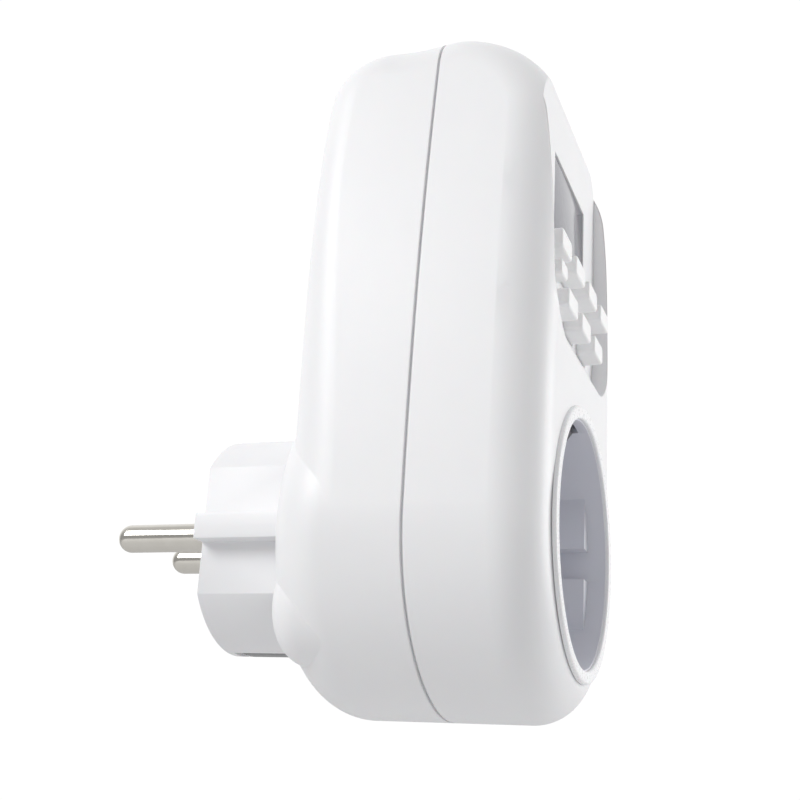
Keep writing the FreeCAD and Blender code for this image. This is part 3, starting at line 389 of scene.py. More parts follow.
class Finishes(Enum):
    """Every finish on the meter."""

    # Satin ABS from a spark-eroded mould: white, a soft sheen, no mirror.
    HOUSING = MouldedPlastic("satin_moulded_abs", "housing_white", "#EFEFF0", "#EAEAEC", 0.4, edge_mm=0.35)
    RIM = MouldedPlastic("glossy_moulded_abs", "housing_white", "#F1F1F2", "#ECECEE", 0.3)
    PLUG = MouldedPlastic("satin_moulded_polyamide", "plug_white", "#ECECED", "#E5E5E8", 0.44)
    # Painted shade: the well's moulding gets a cooler, greyer colour than the ABS round it, standing in for
    # the shade inside the well.
    SOCKET = MouldedPlastic("polyamide_with_painted_shade", "socket_grey", "#D9DAE1", "#D2D3DB", 0.46)
    KEY = MouldedPlastic("smooth_moulded_abs", "key_white", "#F6F6F6", "#F0F0F1", 0.34)
    SHUTTER = MouldedPlastic("moulded_acetal", "shutter_white", "#EDEDEA", "#E4E4E0", 0.36, ior=1.48)
    BLOCK = MouldedPlastic("moulded_black_polyamide", "block_black", "#1B1B1D", "#242427", 0.5, glow=0.0)
    FRAME = MouldedPlastic("moulded_black_abs", "frame_black", "#141416", "#1E1E20", 0.5, glow=0.0)
    MAT = MouldedPlastic("silicone_rubber", "mat_grey", "#8F8F92", "#85858A", 0.6, 0.5, 0.008, ior=1.41)
    CHIP = MouldedPlastic("moulded_epoxy", "chip_black", "#101012", "#19191B", 0.55, 0.2, 0.006, glow=0.0)
    FILM_BOX = MouldedPlastic("potted_capacitor_box", "capacitor_yellow", "#D9B22E", "#CBA224", 0.36)
    DIPPED = MouldedPlastic("dipped_blue_epoxy", "varistor_blue", "#1E4076", "#19376A", 0.28, 1.2, 0.02,
                            coat=0.4)
    PVC_BROWN = MouldedPlastic("extruded_brown_pvc", "wire_brown", "#6B3A1F", "#5F3219", 0.4, 0.8, 0.01)
    PVC_BLUE = MouldedPlastic("extruded_blue_pvc", "wire_blue", "#1F4FA0", "#1A4590", 0.4, 0.8, 0.01)
    LABEL = MouldedPlastic("matte_polyester_label", "label_silver", "#D4D5D8", "#CBCCD0", 0.5, 0.6, 0.003,
                           glow=0.0)
    # A display's back reflector is a warm grey under its polariser.
    CELL = MouldedPlastic("polarised_display_cell", "lcd_grey", "#A6A7AB", "#9C9DA3", 0.3, 0.25, 0.001,
                          glow=0.0)
    PRINT = MouldedPlastic("unlit_display_segments", "lcd_grey", "#94959A", "#8D8E94", 0.3, 0.25, 0.001,
                           glow=0.0)
    # Smoked acrylic: an even cool grey over the display, with a polished shine.
    WINDOW = ClearPlate("smoked_acrylic_window", "window_grey", "#A3A3AB", "#9D9DA6", roughness=0.08,
                        clear=0.4)
    TUBE = ClearPlate("drawn_fuse_tube", "fuse_glass", "#F6FAFA", "#EDF3F3", 1.52)
    # Nickel over brass, tumbled smooth: a yellowish mirror with faint turning marks.
    PIN = WorkedMetal("polished_nickel_plate", "pin_nickel", "#DCD9D2", "#CFCBC3", 0.12, 0.18, 0.0006,
                      Along.X)
    SPRING = WorkedMetal("rolled_stainless_strip", "earth_steel", "#8F8F90", "#77777A", 0.34,
                         along=Along.Y)
    BRASS = WorkedMetal("rolled_brass", "contact_brass", "#D9B36A", "#C29A52", 0.28, along=Along.Y)
    SHUNT = WorkedMetal("manganin_strip", "shunt_copper", "#B98A6B", "#A67758", 0.36, along=Along.Z)
    CAN = WorkedMetal("drawn_aluminium_can", "can_aluminium", "#D3D4D6", "#C2C3C6", 0.3, 0.15, along=Along.Y)
    CRYSTAL = WorkedMetal("drawn_nickel_silver_can", "crystal_steel", "#C4C2BC", "#B2B0AA", 0.25, 0.15,
                          along=Along.X)
    CELLS = WorkedMetal("nickel_plated_cell_can", "cell_steel", "#CFCFCE", "#BDBDBC", 0.24, 0.2)
    ZINC = WorkedMetal("zinc_plated_steel", "screw_steel", "#B9BBC0", "#9FA2A8", 0.32, 0.25, 0.002)
    BOARD = SolderMask("solder_mask_on_glass_fibre", "board_green")

    def material(self) -> bpy.types.Material:
        """The material of this finish, made once and then shared."""
        return bpy.data.materials.get(self.value.name) or self.value.material()


# ---------------------------------------------------------------- modelling by hand
class Pick(Enum):
    """What a selection in edit mode is made of."""

    VERTS = (True, False, False)
    EDGES = (False, True, False)
    FACES = (False, False, True)


def select(kind: Pick, test: Callable[[object], bool]) -> int:
    """Select in edit mode only what passes a test.

    Args:
        kind: Points, edges or faces.
        test: Says yes or no to one of them.

    Returns:
        How many were selected.
    """
    bpy.context.tool_settings.mesh_select_mode = kind.value
    mesh = bmesh.from_edit_mesh(bpy.context.edit_object.data)
    for items in (mesh.verts, mesh.edges, mesh.faces):
        for item in items:
            item.select = False
    chosen = [item for item in {Pick.VERTS: mesh.verts, Pick.EDGES: mesh.edges, Pick.FACES: mesh.faces}[kind]
              if test(item)]
    for item in chosen:
        item.select_set(True)
    mesh.select_flush_mode()
    bmesh.update_edit_mesh(bpy.context.edit_object.data)
    return len(chosen)


def looks_forward(face: bmesh.types.BMFace) -> bool:
    """Does this face look to the front?"""
    return face.normal.y < -0.9


def depth_of(edge: bmesh.types.BMEdge) -> float:
    """How far an edge runs along Y."""
    return abs(edge.verts[0].co.y - edge.verts[1].co.y)


def only(piece: bpy.types.Object) -> None:
    """Make one object the only one selected, and the active one."""
    bpy.ops.object.select_all(action="DESELECT")
    piece.select_set(True)
    bpy.context.view_layer.objects.active = piece


def taken(name: str) -> bpy.types.Object:
    """Name the new primitive and put its place into its mesh.

    Args:
        name: The piece's name.

    Returns:
        The object, at the origin and unturned.
    """
    piece = bpy.context.active_object
    piece.name = name
    piece.data.name = name
    bpy.ops.object.transform_apply(location=True, rotation=True, scale=True)
    return piece


def rod(name: str, radius: float, low: float, high: float, x: float = 0.0, z: float = 0.0,
        sides: int = 96) -> bpy.types.Object:
    """A cylinder along Y.

    Args:
        name: The piece's name.
        radius: Its radius.
        low: Y of its front end.
        high: Y of its back end.
        x: X of its axis.
        z: Z of its axis.
        sides: Facets round it.

    Returns:
        The new object.
    """
    bpy.ops.object.select_all(action="DESELECT")
    bpy.ops.mesh.primitive_cylinder_add(vertices=sides, radius=radius, depth=high - low,
                                        location=(x, (low + high) / 2, z), rotation=(math.pi / 2, 0, 0))
    return taken(name)


def block(name: str, low: Sequence[float], high: Sequence[float]) -> bpy.types.Object:
    """A box between two corners.

    Args:
        name: The piece's name.
        low: Its lowest corner.
        high: Its highest corner.

    Returns:
        The new object.
    """
    bpy.ops.object.select_all(action="DESELECT")
    middle = [(a + b) / 2 for a, b in zip(low, high)]
    bpy.ops.mesh.primitive_cube_add(size=1.0, location=middle, scale=[b - a for a, b in zip(low, high)])
    return taken(name)


def point(name: str, at: Sequence[float]) -> bpy.types.Object:
    """A mesh of one point, left in edit mode, for a profile to be extruded from.

    Args:
        name: The piece's name.
        at: Where the point is.

    Returns:
        The new object.
    """
    bpy.ops.object.select_all(action="DESELECT")
    bpy.ops.mesh.primitive_plane_add(size=MM, location=at)
    piece = taken(name)
    bpy.ops.object.mode_set(mode="EDIT")
    bpy.context.tool_settings.mesh_select_mode = Pick.VERTS.value
    bpy.ops.mesh.select_all(action="SELECT")
    bpy.ops.mesh.merge(type="CENTER")
    return piece


def draw_on(steps: Sequence[Sequence[float]]) -> None:
    """Extrude what is selected through several steps.

    Args:
        steps: The places passed through, the first being where the selection is now.
    """
    for here, there in zip(steps, steps[1:]):
        move = [b - a for a, b in zip(here, there)]
        bpy.ops.mesh.extrude_region_move(TRANSFORM_OT_translate={"value": move})


def turned(name: str, profile: Sequence[tuple[float, float]], x: float = 0.0, z: float = 0.0,
           steps: int = 72) -> bpy.types.Object:
    """A piece turned about an axis along Y.

    Args:
        name: The piece's name.
        profile: Radius and Y of each point of the outline.
        x: X of the axis.
        z: Z of the axis.
        steps: Facets round it.

    Returns:
        The new object, closed and facing outwards.
    """
    outline = [(x + radius, y, z) for radius, y in profile]
    piece = point(name, outline[0])
    draw_on(outline)
    bpy.ops.mesh.select_all(action="SELECT")
    bpy.ops.mesh.spin(steps=steps, angle=2 * math.pi, center=(x, 0, z), axis=(0, 1, 0))
    tidy()
    bpy.ops.object.mode_set(mode="OBJECT")
    return piece


def tidy() -> None:
    """In edit mode, merge doubled points, drop loose ones and face everything outwards."""
    bpy.ops.mesh.select_all(action="SELECT")
    bpy.ops.mesh.remove_doubles(threshold=WELD)
    bpy.ops.mesh.delete_loose()
    bpy.ops.mesh.select_all(action="SELECT")
    bpy.ops.mesh.normals_make_consistent(inside=False)


def strip(name: str, path: Sequence[tuple[float, float]], low_x: float, high_x: float, gauge: float,
          bend: float) -> bpy.types.Object:
    """A metal strip folded along a path seen from the side.

    Args:
        name: The piece's name.
        path: Y and Z of the middle of the strip at each fold.
        low_x: Its left edge.
        high_x: Its right edge.
        gauge: Its thickness.
        bend: How far each fold is rounded.

    Returns:
        The new object.
    """
    piece = point(name, (low_x, *path[0]))
    bpy.ops.mesh.extrude_region_move(TRANSFORM_OT_translate={"value": (high_x - low_x, 0, 0)})
    bpy.ops.mesh.select_all(action="SELECT")
    draw_on([(low_x, *step) for step in path])
    inner = {(round(y / MM, 3), round(z / MM, 3)) for y, z in path[1:-1]}

    def is_fold(edge: bmesh.types.BMEdge) -> bool:
        """Does this edge run across the strip at a fold?"""
        ends = {(round(v.co.y / MM, 3), round(v.co.z / MM, 3)) for v in edge.verts}
        return len(ends) == 1 and ends <= inner

    if select(Pick.EDGES, is_fold):
        bpy.ops.mesh.bevel(offset=bend, segments=5, affect="EDGES")
    tidy()
    bpy.ops.object.mode_set(mode="OBJECT")
    apply_modifier(piece, "SOLIDIFY", thickness=gauge, offset=0.0)
    soften(piece, 0.12 * MM, 2)
    return piece


def apply_modifier(piece: bpy.types.Object, kind: str, **settings: object) -> None:
    """Add a modifier to a piece and apply it at once.

    Args:
        piece: The object.
        kind: Blender's name for the modifier's type.
        **settings: Its properties.
    """
    modifier = piece.modifiers.new(kind.lower(), kind)
    for key, value in settings.items():
        setattr(modifier, key, value)
    only(piece)
    bpy.ops.object.modifier_apply(modifier=modifier.name)


def combine(piece: bpy.types.Object, others: Sequence[bpy.types.Object], operation: str) -> None:
    """Carve, join or intersect a piece with others, which are used up.

    Args:
        piece: The object that is kept.
        others: The objects that shape it.
        operation: DIFFERENCE, UNION or INTERSECT.
    """
    for other in others:
        apply_modifier(piece, "BOOLEAN", operation=operation, object=other, solver="EXACT")
        bpy.data.objects.remove(other, do_unlink=True)
    only(piece)
    bpy.ops.object.mode_set(mode="EDIT")
    bpy.ops.mesh.select_all(action="SELECT")
    bpy.ops.mesh.remove_doubles(threshold=WELD)
    bpy.ops.object.mode_set(mode="OBJECT")


def soften(piece: bpy.types.Object, width: float, segments: int = 3, angle: float = 40.0) -> None:
    """Round a piece's sharp edges.

    Args:
        piece: The object.
        width: How far each edge is rounded.
        segments: Facets across the rounding.
        angle: The least turn between faces that counts as sharp, in degrees.
    """
    apply_modifier(piece, "BEVEL", width=width, segments=segments, limit_method="ANGLE",
                   angle_limit=math.radians(angle), use_clamp_overlap=True, loop_slide=False)


def dress(piece: bpy.types.Object, finish: Finishes, body: str, *stands_for: str,
          smooth: float = 32.0) -> None:
    """Give a modelled piece its shading, finish and body, and say which sub-parts it stands for.

    Args:
        piece: The object.
        finish: Its finish.
        body: The body it rides on.
        *stands_for: The sub-parts it replaces.
        smooth: The least turn between faces that still shows as an edge, in degrees.
    """
    only(piece)
    bpy.ops.object.shade_smooth_by_angle(angle=math.radians(smooth))
    piece.data.materials.clear()
    piece.data.materials.append(finish.material())
    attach(piece, body)
    if stands_for:
        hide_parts(*stands_for)


def joined(pieces: Sequence[bpy.types.Object]) -> bpy.types.Object:
    """Join several pieces into the first of them.

    Args:
        pieces: The objects.

    Returns:
        The first one, which now holds them all.
    """
    only(pieces[0])
    for piece in pieces:
        piece.select_set(True)
    bpy.ops.object.join()
    return pieces[0]


def dress_node(node: str, finish: Finishes) -> None:
    """Give a sub-part that keeps its own shape its finish."""
    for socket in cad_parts[node].material_slots:
        socket.material = finish.material()


def copied(piece: bpy.types.Object, name: str, move: Sequence[float]) -> bpy.types.Object:
    """Copy a modelled piece, with its own mesh, to another place.

    Args:
        piece: The object to copy.
        name: The copy's name.
        move: How far the copy is from it.

    Returns:
        The copy.
    """
    other = piece.copy()
    other.data = piece.data.copy()
    other.name = name
    other.data.name = name
    other.data.transform(Matrix.Translation(move))
    bpy.context.scene.collection.objects.link(other)
    return other


# ---------------------------------------------------------------- housing
@dataclass
class Housing:
    """The two shells, their screws and the blank plate on the back.

    Attributes:
        head_radius: Radius of a screw's head.
        head_height: Height of the head.
        shank_radius: Radius of the shank.
        sink: Depth of the head's seat below the back face.
        upper_x: Distance of an upper screw from the middle.
        lower_reach: From the back face to the tip of a lower screw.
        platform: How far the platform round the plug stands behind the rest of the back.
        plate_gauge: Thickness of the plate.
        plate_corner: Rounding of its corners.
        thread_pitch: Pitch of a screw's thread.
        slot_reach: Half the length of the cross recess.
        slot_wide: Half the width of its arms.
    """

    head_radius: float = 2.6 * MM
    head_height: float = 2.0 * MM
    shank_radius: float = 1.4 * MM
    sink: float = 5.0 * MM
    upper_x: float = 15.0 * MM
    lower_reach: float = 21.0 * MM
    platform: float = 2.4 * MM
    plate_gauge: float = 0.25 * MM
    plate_corner: float = 2.0 * MM
    thread_pitch: float = 1.1 * MM
    slot_reach: float = 1.35 * MM
    slot_wide: float = 0.36 * MM

    def screw(self, name: str, x: float, z: float, tip: float, back: float) -> bpy.types.Object:
        """One pan-head screw with a cross recess.

        Args:
            name: The piece's name.
            x: X of its axis.
            z: Z of its axis.
            tip: Y of its tip.
            back: Y of the housing's back face.

        Returns:
            The screw.
        """
        seat = back - self.sink
        top = seat + self.head_height
        profile = [(0.0, tip), (self.shank_radius * 0.6, tip + 0.6 * MM)]
        y = tip + 1.2 * MM
        while y < seat - 1.5 * MM:
            profile += [(self.shank_radius * 0.78, y), (self.shank_radius, y + self.thread_pitch / 2)]
            y += self.thread_pitch
        profile += [(self.shank_radius * 0.85, seat - 0.3 * MM), (self.shank_radius * 0.85, seat),
                    (self.head_radius, seat), (self.head_radius, seat + 0.7 * MM),
                    (self.head_radius * 0.92, seat + 1.3 * MM), (self.head_radius * 0.72, top - 0.25 * MM),
                    (self.head_radius * 0.4, top - 0.03 * MM), (0.0, top)]
        piece = turned(name, profile, x, z, steps=40)
        reach, wide = self.slot_reach, self.slot_wide
        arms = [block("arm", (x - a, top - 1.0 * MM, z - b), (x + a, top + 1.0 * MM, z + b))
                for a, b in ((reach, wide), (wide, reach))]
        combine(piece, arms, "DIFFERENCE")
        return piece

    def build(self) -> list[str]:
        """Model and dress the sub-assembly.

        Returns:
            Names of the pieces.
        """
        dress_node("front_shell", Finishes.HOUSING)
        dress_node("rear_shell", Finishes.HOUSING)
        low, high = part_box("housing_screws")
        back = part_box("rear_shell")[1].y
        inset = self.head_radius
        sides = (low.x + inset, high.x - inset)
        screws = [self.screw(f"lower_screw_{n}", x, low.z + inset, back - self.lower_reach, back)
                  for n, x in enumerate(sides)]
        screws += [self.screw(f"upper_screw_{n}", x, high.z - inset, low.y, back - self.platform)
                   for n, x in enumerate((-self.upper_x, self.upper_x))]
        for piece in screws:
            dress(piece, Finishes.ZINC, "housing", "housing_screws")
        low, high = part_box("rating_plate")
        plate = block("blank_plate", low, high)
        bpy.ops.object.mode_set(mode="EDIT")
        select(Pick.EDGES, lambda edge: depth_of(edge) > self.plate_gauge / 2)
        bpy.ops.mesh.bevel(offset=self.plate_corner, segments=6, affect="EDGES")
        select(Pick.FACES, lambda f: f.normal.y > 0.9)
        bpy.ops.mesh.inset(thickness=0.8 * MM, depth=0.0)
        bpy.ops.mesh.inset(thickness=0.15 * MM, depth=-0.06 * MM)
        bpy.ops.object.mode_set(mode="OBJECT")
        dress(plate, Finishes.LABEL, "housing", "rating_plate")
        return ["front_shell", "rear_shell", *[s.name for s in screws], plate.name]


# ---------------------------------------------------------------- plug
@dataclass
class Plug:
    """The round plug with its side flats and ribs, two pins, and the earth strip above and below.

    Attributes:
        radius: Radius of the plug.
        flats: Distance between the side flats.
        rib: Width of the rib that stands on each flat.
        corner: Rounding of the edges.
        pin_radius: Radius of a pin.
        root_radius: Radius of its root.
        root_length: Length of the root inside the plug.
        strap_gauge: Thickness of the earth strip.
        slot_width: Width of the slot that the strip lies in.
        slot_depth: Depth of the slot.
        slot_end: How far behind the plug's face the slot ends.
    """

    radius: float = 18.5 * MM
    flats: float = 30.4 * MM
    rib: float = 4.2 * MM
    corner: float = 0.35 * MM
    pin_radius: float = 2.4 * MM
    root_radius: float = 2.7 * MM
    root_length: float = 7.0 * MM
    strap_gauge: float = 0.8 * MM
    slot_width: float = 4.6 * MM
    slot_depth: float = 1.1 * MM
    slot_end: float = 1.2 * MM

    def body(self) -> bpy.types.Object:
        """The moulded body.

        Returns:
            The body.
        """
        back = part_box("rear_shell")[1].y
        radius = self.radius
        piece = rod("plug_moulding", radius, back - 2.0 * MM, 0.0, sides=144)
        flat, rib = self.flats / 2, self.rib / 2
        cross = block("between_flats", (-flat, back - 1.0, -1.0), (flat, 1.0, 1.0))
        ribs = block("side_ribs", (-1.0, back - 1.0, -rib), (1.0, 1.0, rib))
        combine(cross, [ribs], "UNION")
        neck = rod("neck", radius, back - 3.0 * MM, back - 0.6 * MM, sides=144)
        combine(piece, [cross], "INTERSECT")
        combine(piece, [neck], "UNION")
        wide = self.slot_width / 2
        slots = []
        for side in (-1, 1):
            outer, inner = side * (radius + 1 * MM), side * (radius - self.slot_depth)
            slots.append(block("strip_slot", (-wide, back - 6 * MM, min(outer, inner)),
                               (wide, -self.slot_end, max(outer, inner))))
        combine(piece, slots, "DIFFERENCE")
        soften(piece, self.corner, 3, 50.0)
        return piece

    def pin(self, name: str, x: float, tip: float) -> bpy.types.Object:
        """One solid pin with a domed tip.

        Args:
            name: The piece's name.
            x: X of its axis.
            tip: Y of its tip.

        Returns:
            The pin.
        """
        radius = self.pin_radius
        dome = [(radius * math.cos(a), tip - radius + radius * math.sin(a))
                for a in (math.radians(9 * n) for n in range(11))]
        root, foot = self.root_radius, -self.root_length
        profile = [(0.0, foot), (root, foot), (root, -0.05 * MM), (root - 0.2 * MM, 0.0), (radius, 0.0),
                   *dome[:-1], (0.0, tip)]
        return turned(name, profile, x, steps=64)

    def build(self) -> list[str]:
        """Model and dress the sub-assembly.

        Returns:
            Names of the pieces.
        """
        body = self.body()
        dress(body, Finishes.PLUG, "housing", "plug_body")
        names = [body.name]
        for name in ("pin_line", "pin_neutral"):
            low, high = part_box(name)
            pin = self.pin(f"{name}_plated", (low.x + high.x) / 2, high.y)
            dress(pin, Finishes.PIN, "housing", name)
            names.append(pin.name)
        low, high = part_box("plug_earth_strap")
        half = self.strap_gauge / 2
        bar, end = low.y + half, high.y
        top, bottom = -low.z - half, low.z + half
        over = high.z - half
        gap = 0.25 * MM
        lip, fold, run = end - 0.3 * MM, end - half, bar + 8 * MM
        paths = {
            "earth_strip_under": [(lip, bottom + MM), (fold, bottom), (run, bottom), (bar, bottom),
                                  (bar, over)],
            "earth_strip_over": [(lip, top - MM), (fold, top), (run, top), (bar + half + gap, top)],
        }
        for name, path in paths.items():
            piece = strip(name, path, low.x, high.x, self.strap_gauge, 0.5 * MM)
            dress(piece, Finishes.SPRING, "housing", "plug_earth_strap")
            names.append(piece.name)
        return names


# ---------------------------------------------------------------- socket
@dataclass
class Socket:
    """The earthed well in front: its moulding, the raised rim, and the sprung earth clips.

    Attributes:
        radius: Radius of the well.
        flats: Distance between the lands.
        groove: Width of the groove in each land.
        setback: The lands' front edge behind the mouth.
        hole_radius: Radius of a pin hole.
        pin_x: Distance of a pin hole from the middle.
        gauge: Thickness of the earth clips.
        nose: How far a clip's nose stands into the well.
        lug_radius: Radius of the lugs that the lower screws pull on.
        lug_at: X and Z of a lug's middle.
        pilot_radius: Radius of the hole in a lug.
        floor_gauge: Thickness of the floor.
        slot_wide: Half the width of a clip's slot.
        slot_start: How far behind the mouth the slot starts.
        slot_in: How far the slot reaches into the well.
        slot_out: How far it reaches out through the wall.
    """

    radius: float = 19.8 * MM
    flats: float = 32.4 * MM
    groove: float = 5.3 * MM
    setback: float = 3.0 * MM
    hole_radius: float = HOLE_RADIUS
    pin_x: float = PIN_X
    gauge: float = 0.8 * MM
    nose: float = 3.2 * MM
    lug_radius: float = 3.25 * MM
    lug_at: tuple[float, float] = (15.98 * MM, -14.39 * MM)
    pilot_radius: float = 1.45 * MM
    floor_gauge: float = 3.0 * MM
    slot_wide: float = 3.3 * MM
    slot_start: float = 1.6 * MM
    slot_in: float = 1.6 * MM
    slot_out: float = 4.4 * MM

    def moulding(self) -> bpy.types.Object:
        """The well's wall and floor in one, with lugs for the lower screws.

        Returns:
            The moulding.
        """
        low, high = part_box("socket_well")
        floor_low, floor_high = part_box("socket_floor")
        front, floor = low.y, floor_low.y
        back = floor + self.floor_gauge
        piece = rod("socket_moulding", high.x, front, back, sides=144)
        room = rod("room", self.radius, front - 1 * MM, floor, sides=144)
        flat, groove, far = self.flats / 2, self.groove / 2, 30 * MM
        between = block("between", (-flat, front - 1 * MM, -far), (flat, floor, far))
        mouth = block("mouth", (-far, front - 1 * MM, -far), (far, front + self.setback, far))
        grooves = block("grooves", (-far, front - 1 * MM, -groove), (far, floor, groove))
        combine(between, [mouth, grooves], "UNION")
        combine(room, [between], "INTERSECT")
        combine(piece, [room], "DIFFERENCE")
        lug_x, lug_z = self.lug_at
        end = floor_high.y
        lugs, pin_holes, pilots, clip_slots = [], [], [], []
        for side in (-1, 1):
            x = side * lug_x
            lugs.append(rod("lug", self.lug_radius, floor, end, x, lug_z, 40))
            pin_holes.append(rod("pin_hole", self.hole_radius, floor - MM, back + MM, side * self.pin_x,
                                 sides=64))
            pilots.append(rod("pilot", self.pilot_radius, floor + MM, end + MM, x, lug_z, 32))
            edges = sorted((side * (self.radius - self.slot_in), side * (self.radius + self.slot_out)))
            clip_slots.append(block("clip_slot", (-self.slot_wide, front + self.slot_start, edges[0]),
                                    (self.slot_wide, back + MM, edges[1])))
        combine(piece, lugs, "UNION")
        cutters = [*pin_holes, *pilots, *clip_slots]
        combine(piece, cutters, "DIFFERENCE")
        soften(piece, 0.3 * MM, 3, 50.0)
        return piece

    def rim(self) -> bpy.types.Object:
        """The raised ring round the mouth, with a rounded lip.

        Returns:
            The ring.
        """
        low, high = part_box("socket_rim")
        outer, inner = high.x, self.radius + 0.2 * MM
        front, back = low.y, high.y
        soft = (back - front) * 0.6
        corner = [(math.radians(90 * n / 5)) for n in range(6)]
        profile = [(outer, back)]
        profile += [(outer - soft + soft * math.cos(a), front + soft - soft * math.sin(a)) for a in corner]
        profile += [(inner + soft - soft * math.sin(a), front + soft - soft * math.cos(a)) for a in corner]
        profile += [(inner, back), (outer, back)]
        return turned("socket_rim_lip", profile, steps=144)

    def clips(self) -> list[bpy.types.Object]:
        """The two sprung clips and the bracket behind the floor.

        Returns:
            The clips and the bracket.
        """
        low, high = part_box("socket_earth_clips")
        half = self.gauge / 2
        front, bracket = low.y, high.y - half
        run = self.radius + 0.3 * MM + half
        nose = self.radius - self.nose + half
        pieces = []
        for name, side in (("earth_clip_over", 1), ("earth_clip_under", -1)):
            path = [(bracket - half, run), (front + 6.7 * MM, run), (front + 3.0 * MM, nose + 0.2 * MM),
                    (front + 2.2 * MM, nose + 0.2 * MM), (front + 0.35 * MM, run - 0.7 * MM)]
            pieces.append(strip(name, [(y, z * side) for y, z in path], low.x, high.x, self.gauge, 0.7 * MM))
        bar = block("earth_bracket", (low.x, high.y - self.gauge, low.z), (high.x, high.y, high.z))
        soften(bar, 0.2 * MM, 2)
        return [*pieces, bar]

    def build(self) -> list[str]:
        """Model and dress the sub-assembly.

        Returns:
            Names of the pieces.
        """
        moulding = self.moulding()
        # The moulding's grey finish is painted shade for the inside of the well.
        dress(moulding, Finishes.SOCKET, "housing", "socket_well", "socket_floor")
        rim = self.rim()
        dress(rim, Finishes.RIM, "housing", "socket_rim")
        clips = self.clips()
        for piece in clips:
            dress(piece, Finishes.SPRING, "housing", "socket_earth_clips")
        dress_node("earth_link", Finishes.SPRING)
        return [moulding.name, rim.name, *[c.name for c in clips], "earth_link"]


# ---------------------------------------------------------------- shutter and contacts
@dataclass
class Shutter:
    """The child-safety disc behind the pin holes, its spring, and the block and contacts behind it.

    Attributes:
        bore: Radius of the hole it turns on.
        hole_radius: Radius of a pin hole.
        pin_x: Distance of a pin hole from the middle.
        turn: How far the holes are turned away at rest, in degrees.
        wire: Radius of the spring's wire.
        coil: Radius of its coil.
        turns: Turns of the coil.
    """

    bore: float = 2.3 * MM
    hole_radius: float = HOLE_RADIUS
    pin_x: float = PIN_X
    turn: float = 32.0
    wire: float = 0.22 * MM
    coil: float = 3.5 * MM
    turns: int = 2

    def disc(self) -> bpy.types.Object:
        """The turning disc, its outer edges chamfered, with its two holes.

        Returns:
            The disc.
        """
        low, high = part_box("shutter")
        radius = high.x
        profile = [(self.bore, low.y), (radius - 0.4 * MM, low.y), (radius, low.y + 0.4 * MM),
                   (radius, high.y - 0.2 * MM), (radius - 0.2 * MM, high.y), (self.bore, high.y),
                   (self.bore, low.y)]
        piece = turned("shutter_disc", profile, steps=96)
        across, up = math.cos(math.radians(self.turn)), math.sin(math.radians(self.turn))
        holes = [rod("hole", self.hole_radius, low.y - MM, high.y + MM, reach * across, reach * up, 56)
                 for reach in (-self.pin_x, self.pin_x)]
        combine(piece, holes, "DIFFERENCE")
        soften(piece, 0.15 * MM, 2, 50.0)
        return piece

    def spring(self) -> bpy.types.Object:
        """The coil that turns the shutter shut, wound from one wire.

        Returns:
            The spring.
        """
        low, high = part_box("shutter_spring")
        bpy.ops.object.select_all(action="DESELECT")
        bpy.ops.mesh.primitive_circle_add(vertices=12, radius=self.wire, fill_type="NOTHING",
                                          location=(self.coil, low.y + self.wire, 0))
        piece = taken("shutter_coil")
        rise = (high.y - low.y - 2 * self.wire) / self.turns
        steps = 48 * self.turns
        apply_modifier(piece, "SCREW", axis="Y", angle=2 * math.pi * self.turns,
                       screw_offset=rise * self.turns, steps=steps, render_steps=steps,
                       use_merge_vertices=True)
        bpy.ops.object.mode_set(mode="EDIT")
        bpy.ops.mesh.select_all(action="SELECT")
        bpy.ops.mesh.fill_holes(sides=16)
        tidy()
        bpy.ops.object.mode_set(mode="OBJECT")
        return piece

    def build(self) -> list[str]:
        """Model and dress the sub-assembly.

        Returns:
            Names of the pieces.
        """
        disc = self.disc()
        dress(disc, Finishes.SHUTTER, "shutter", "shutter")
        spring = self.spring()
        dress(spring, Finishes.SPRING, "housing", "shutter_spring", smooth=60.0)
        dress_node("contact_block", Finishes.BLOCK)
        brass = ["contact_line", "contact_neutral", "bus_line", "bus_neutral", "bus_neutral_pin"]
        for node in brass:
            dress_node(node, Finishes.BRASS)
        dress_node("shunt", Finishes.SHUNT)
        return [disc.name, spring.name, "contact_block", *brass, "shunt"]


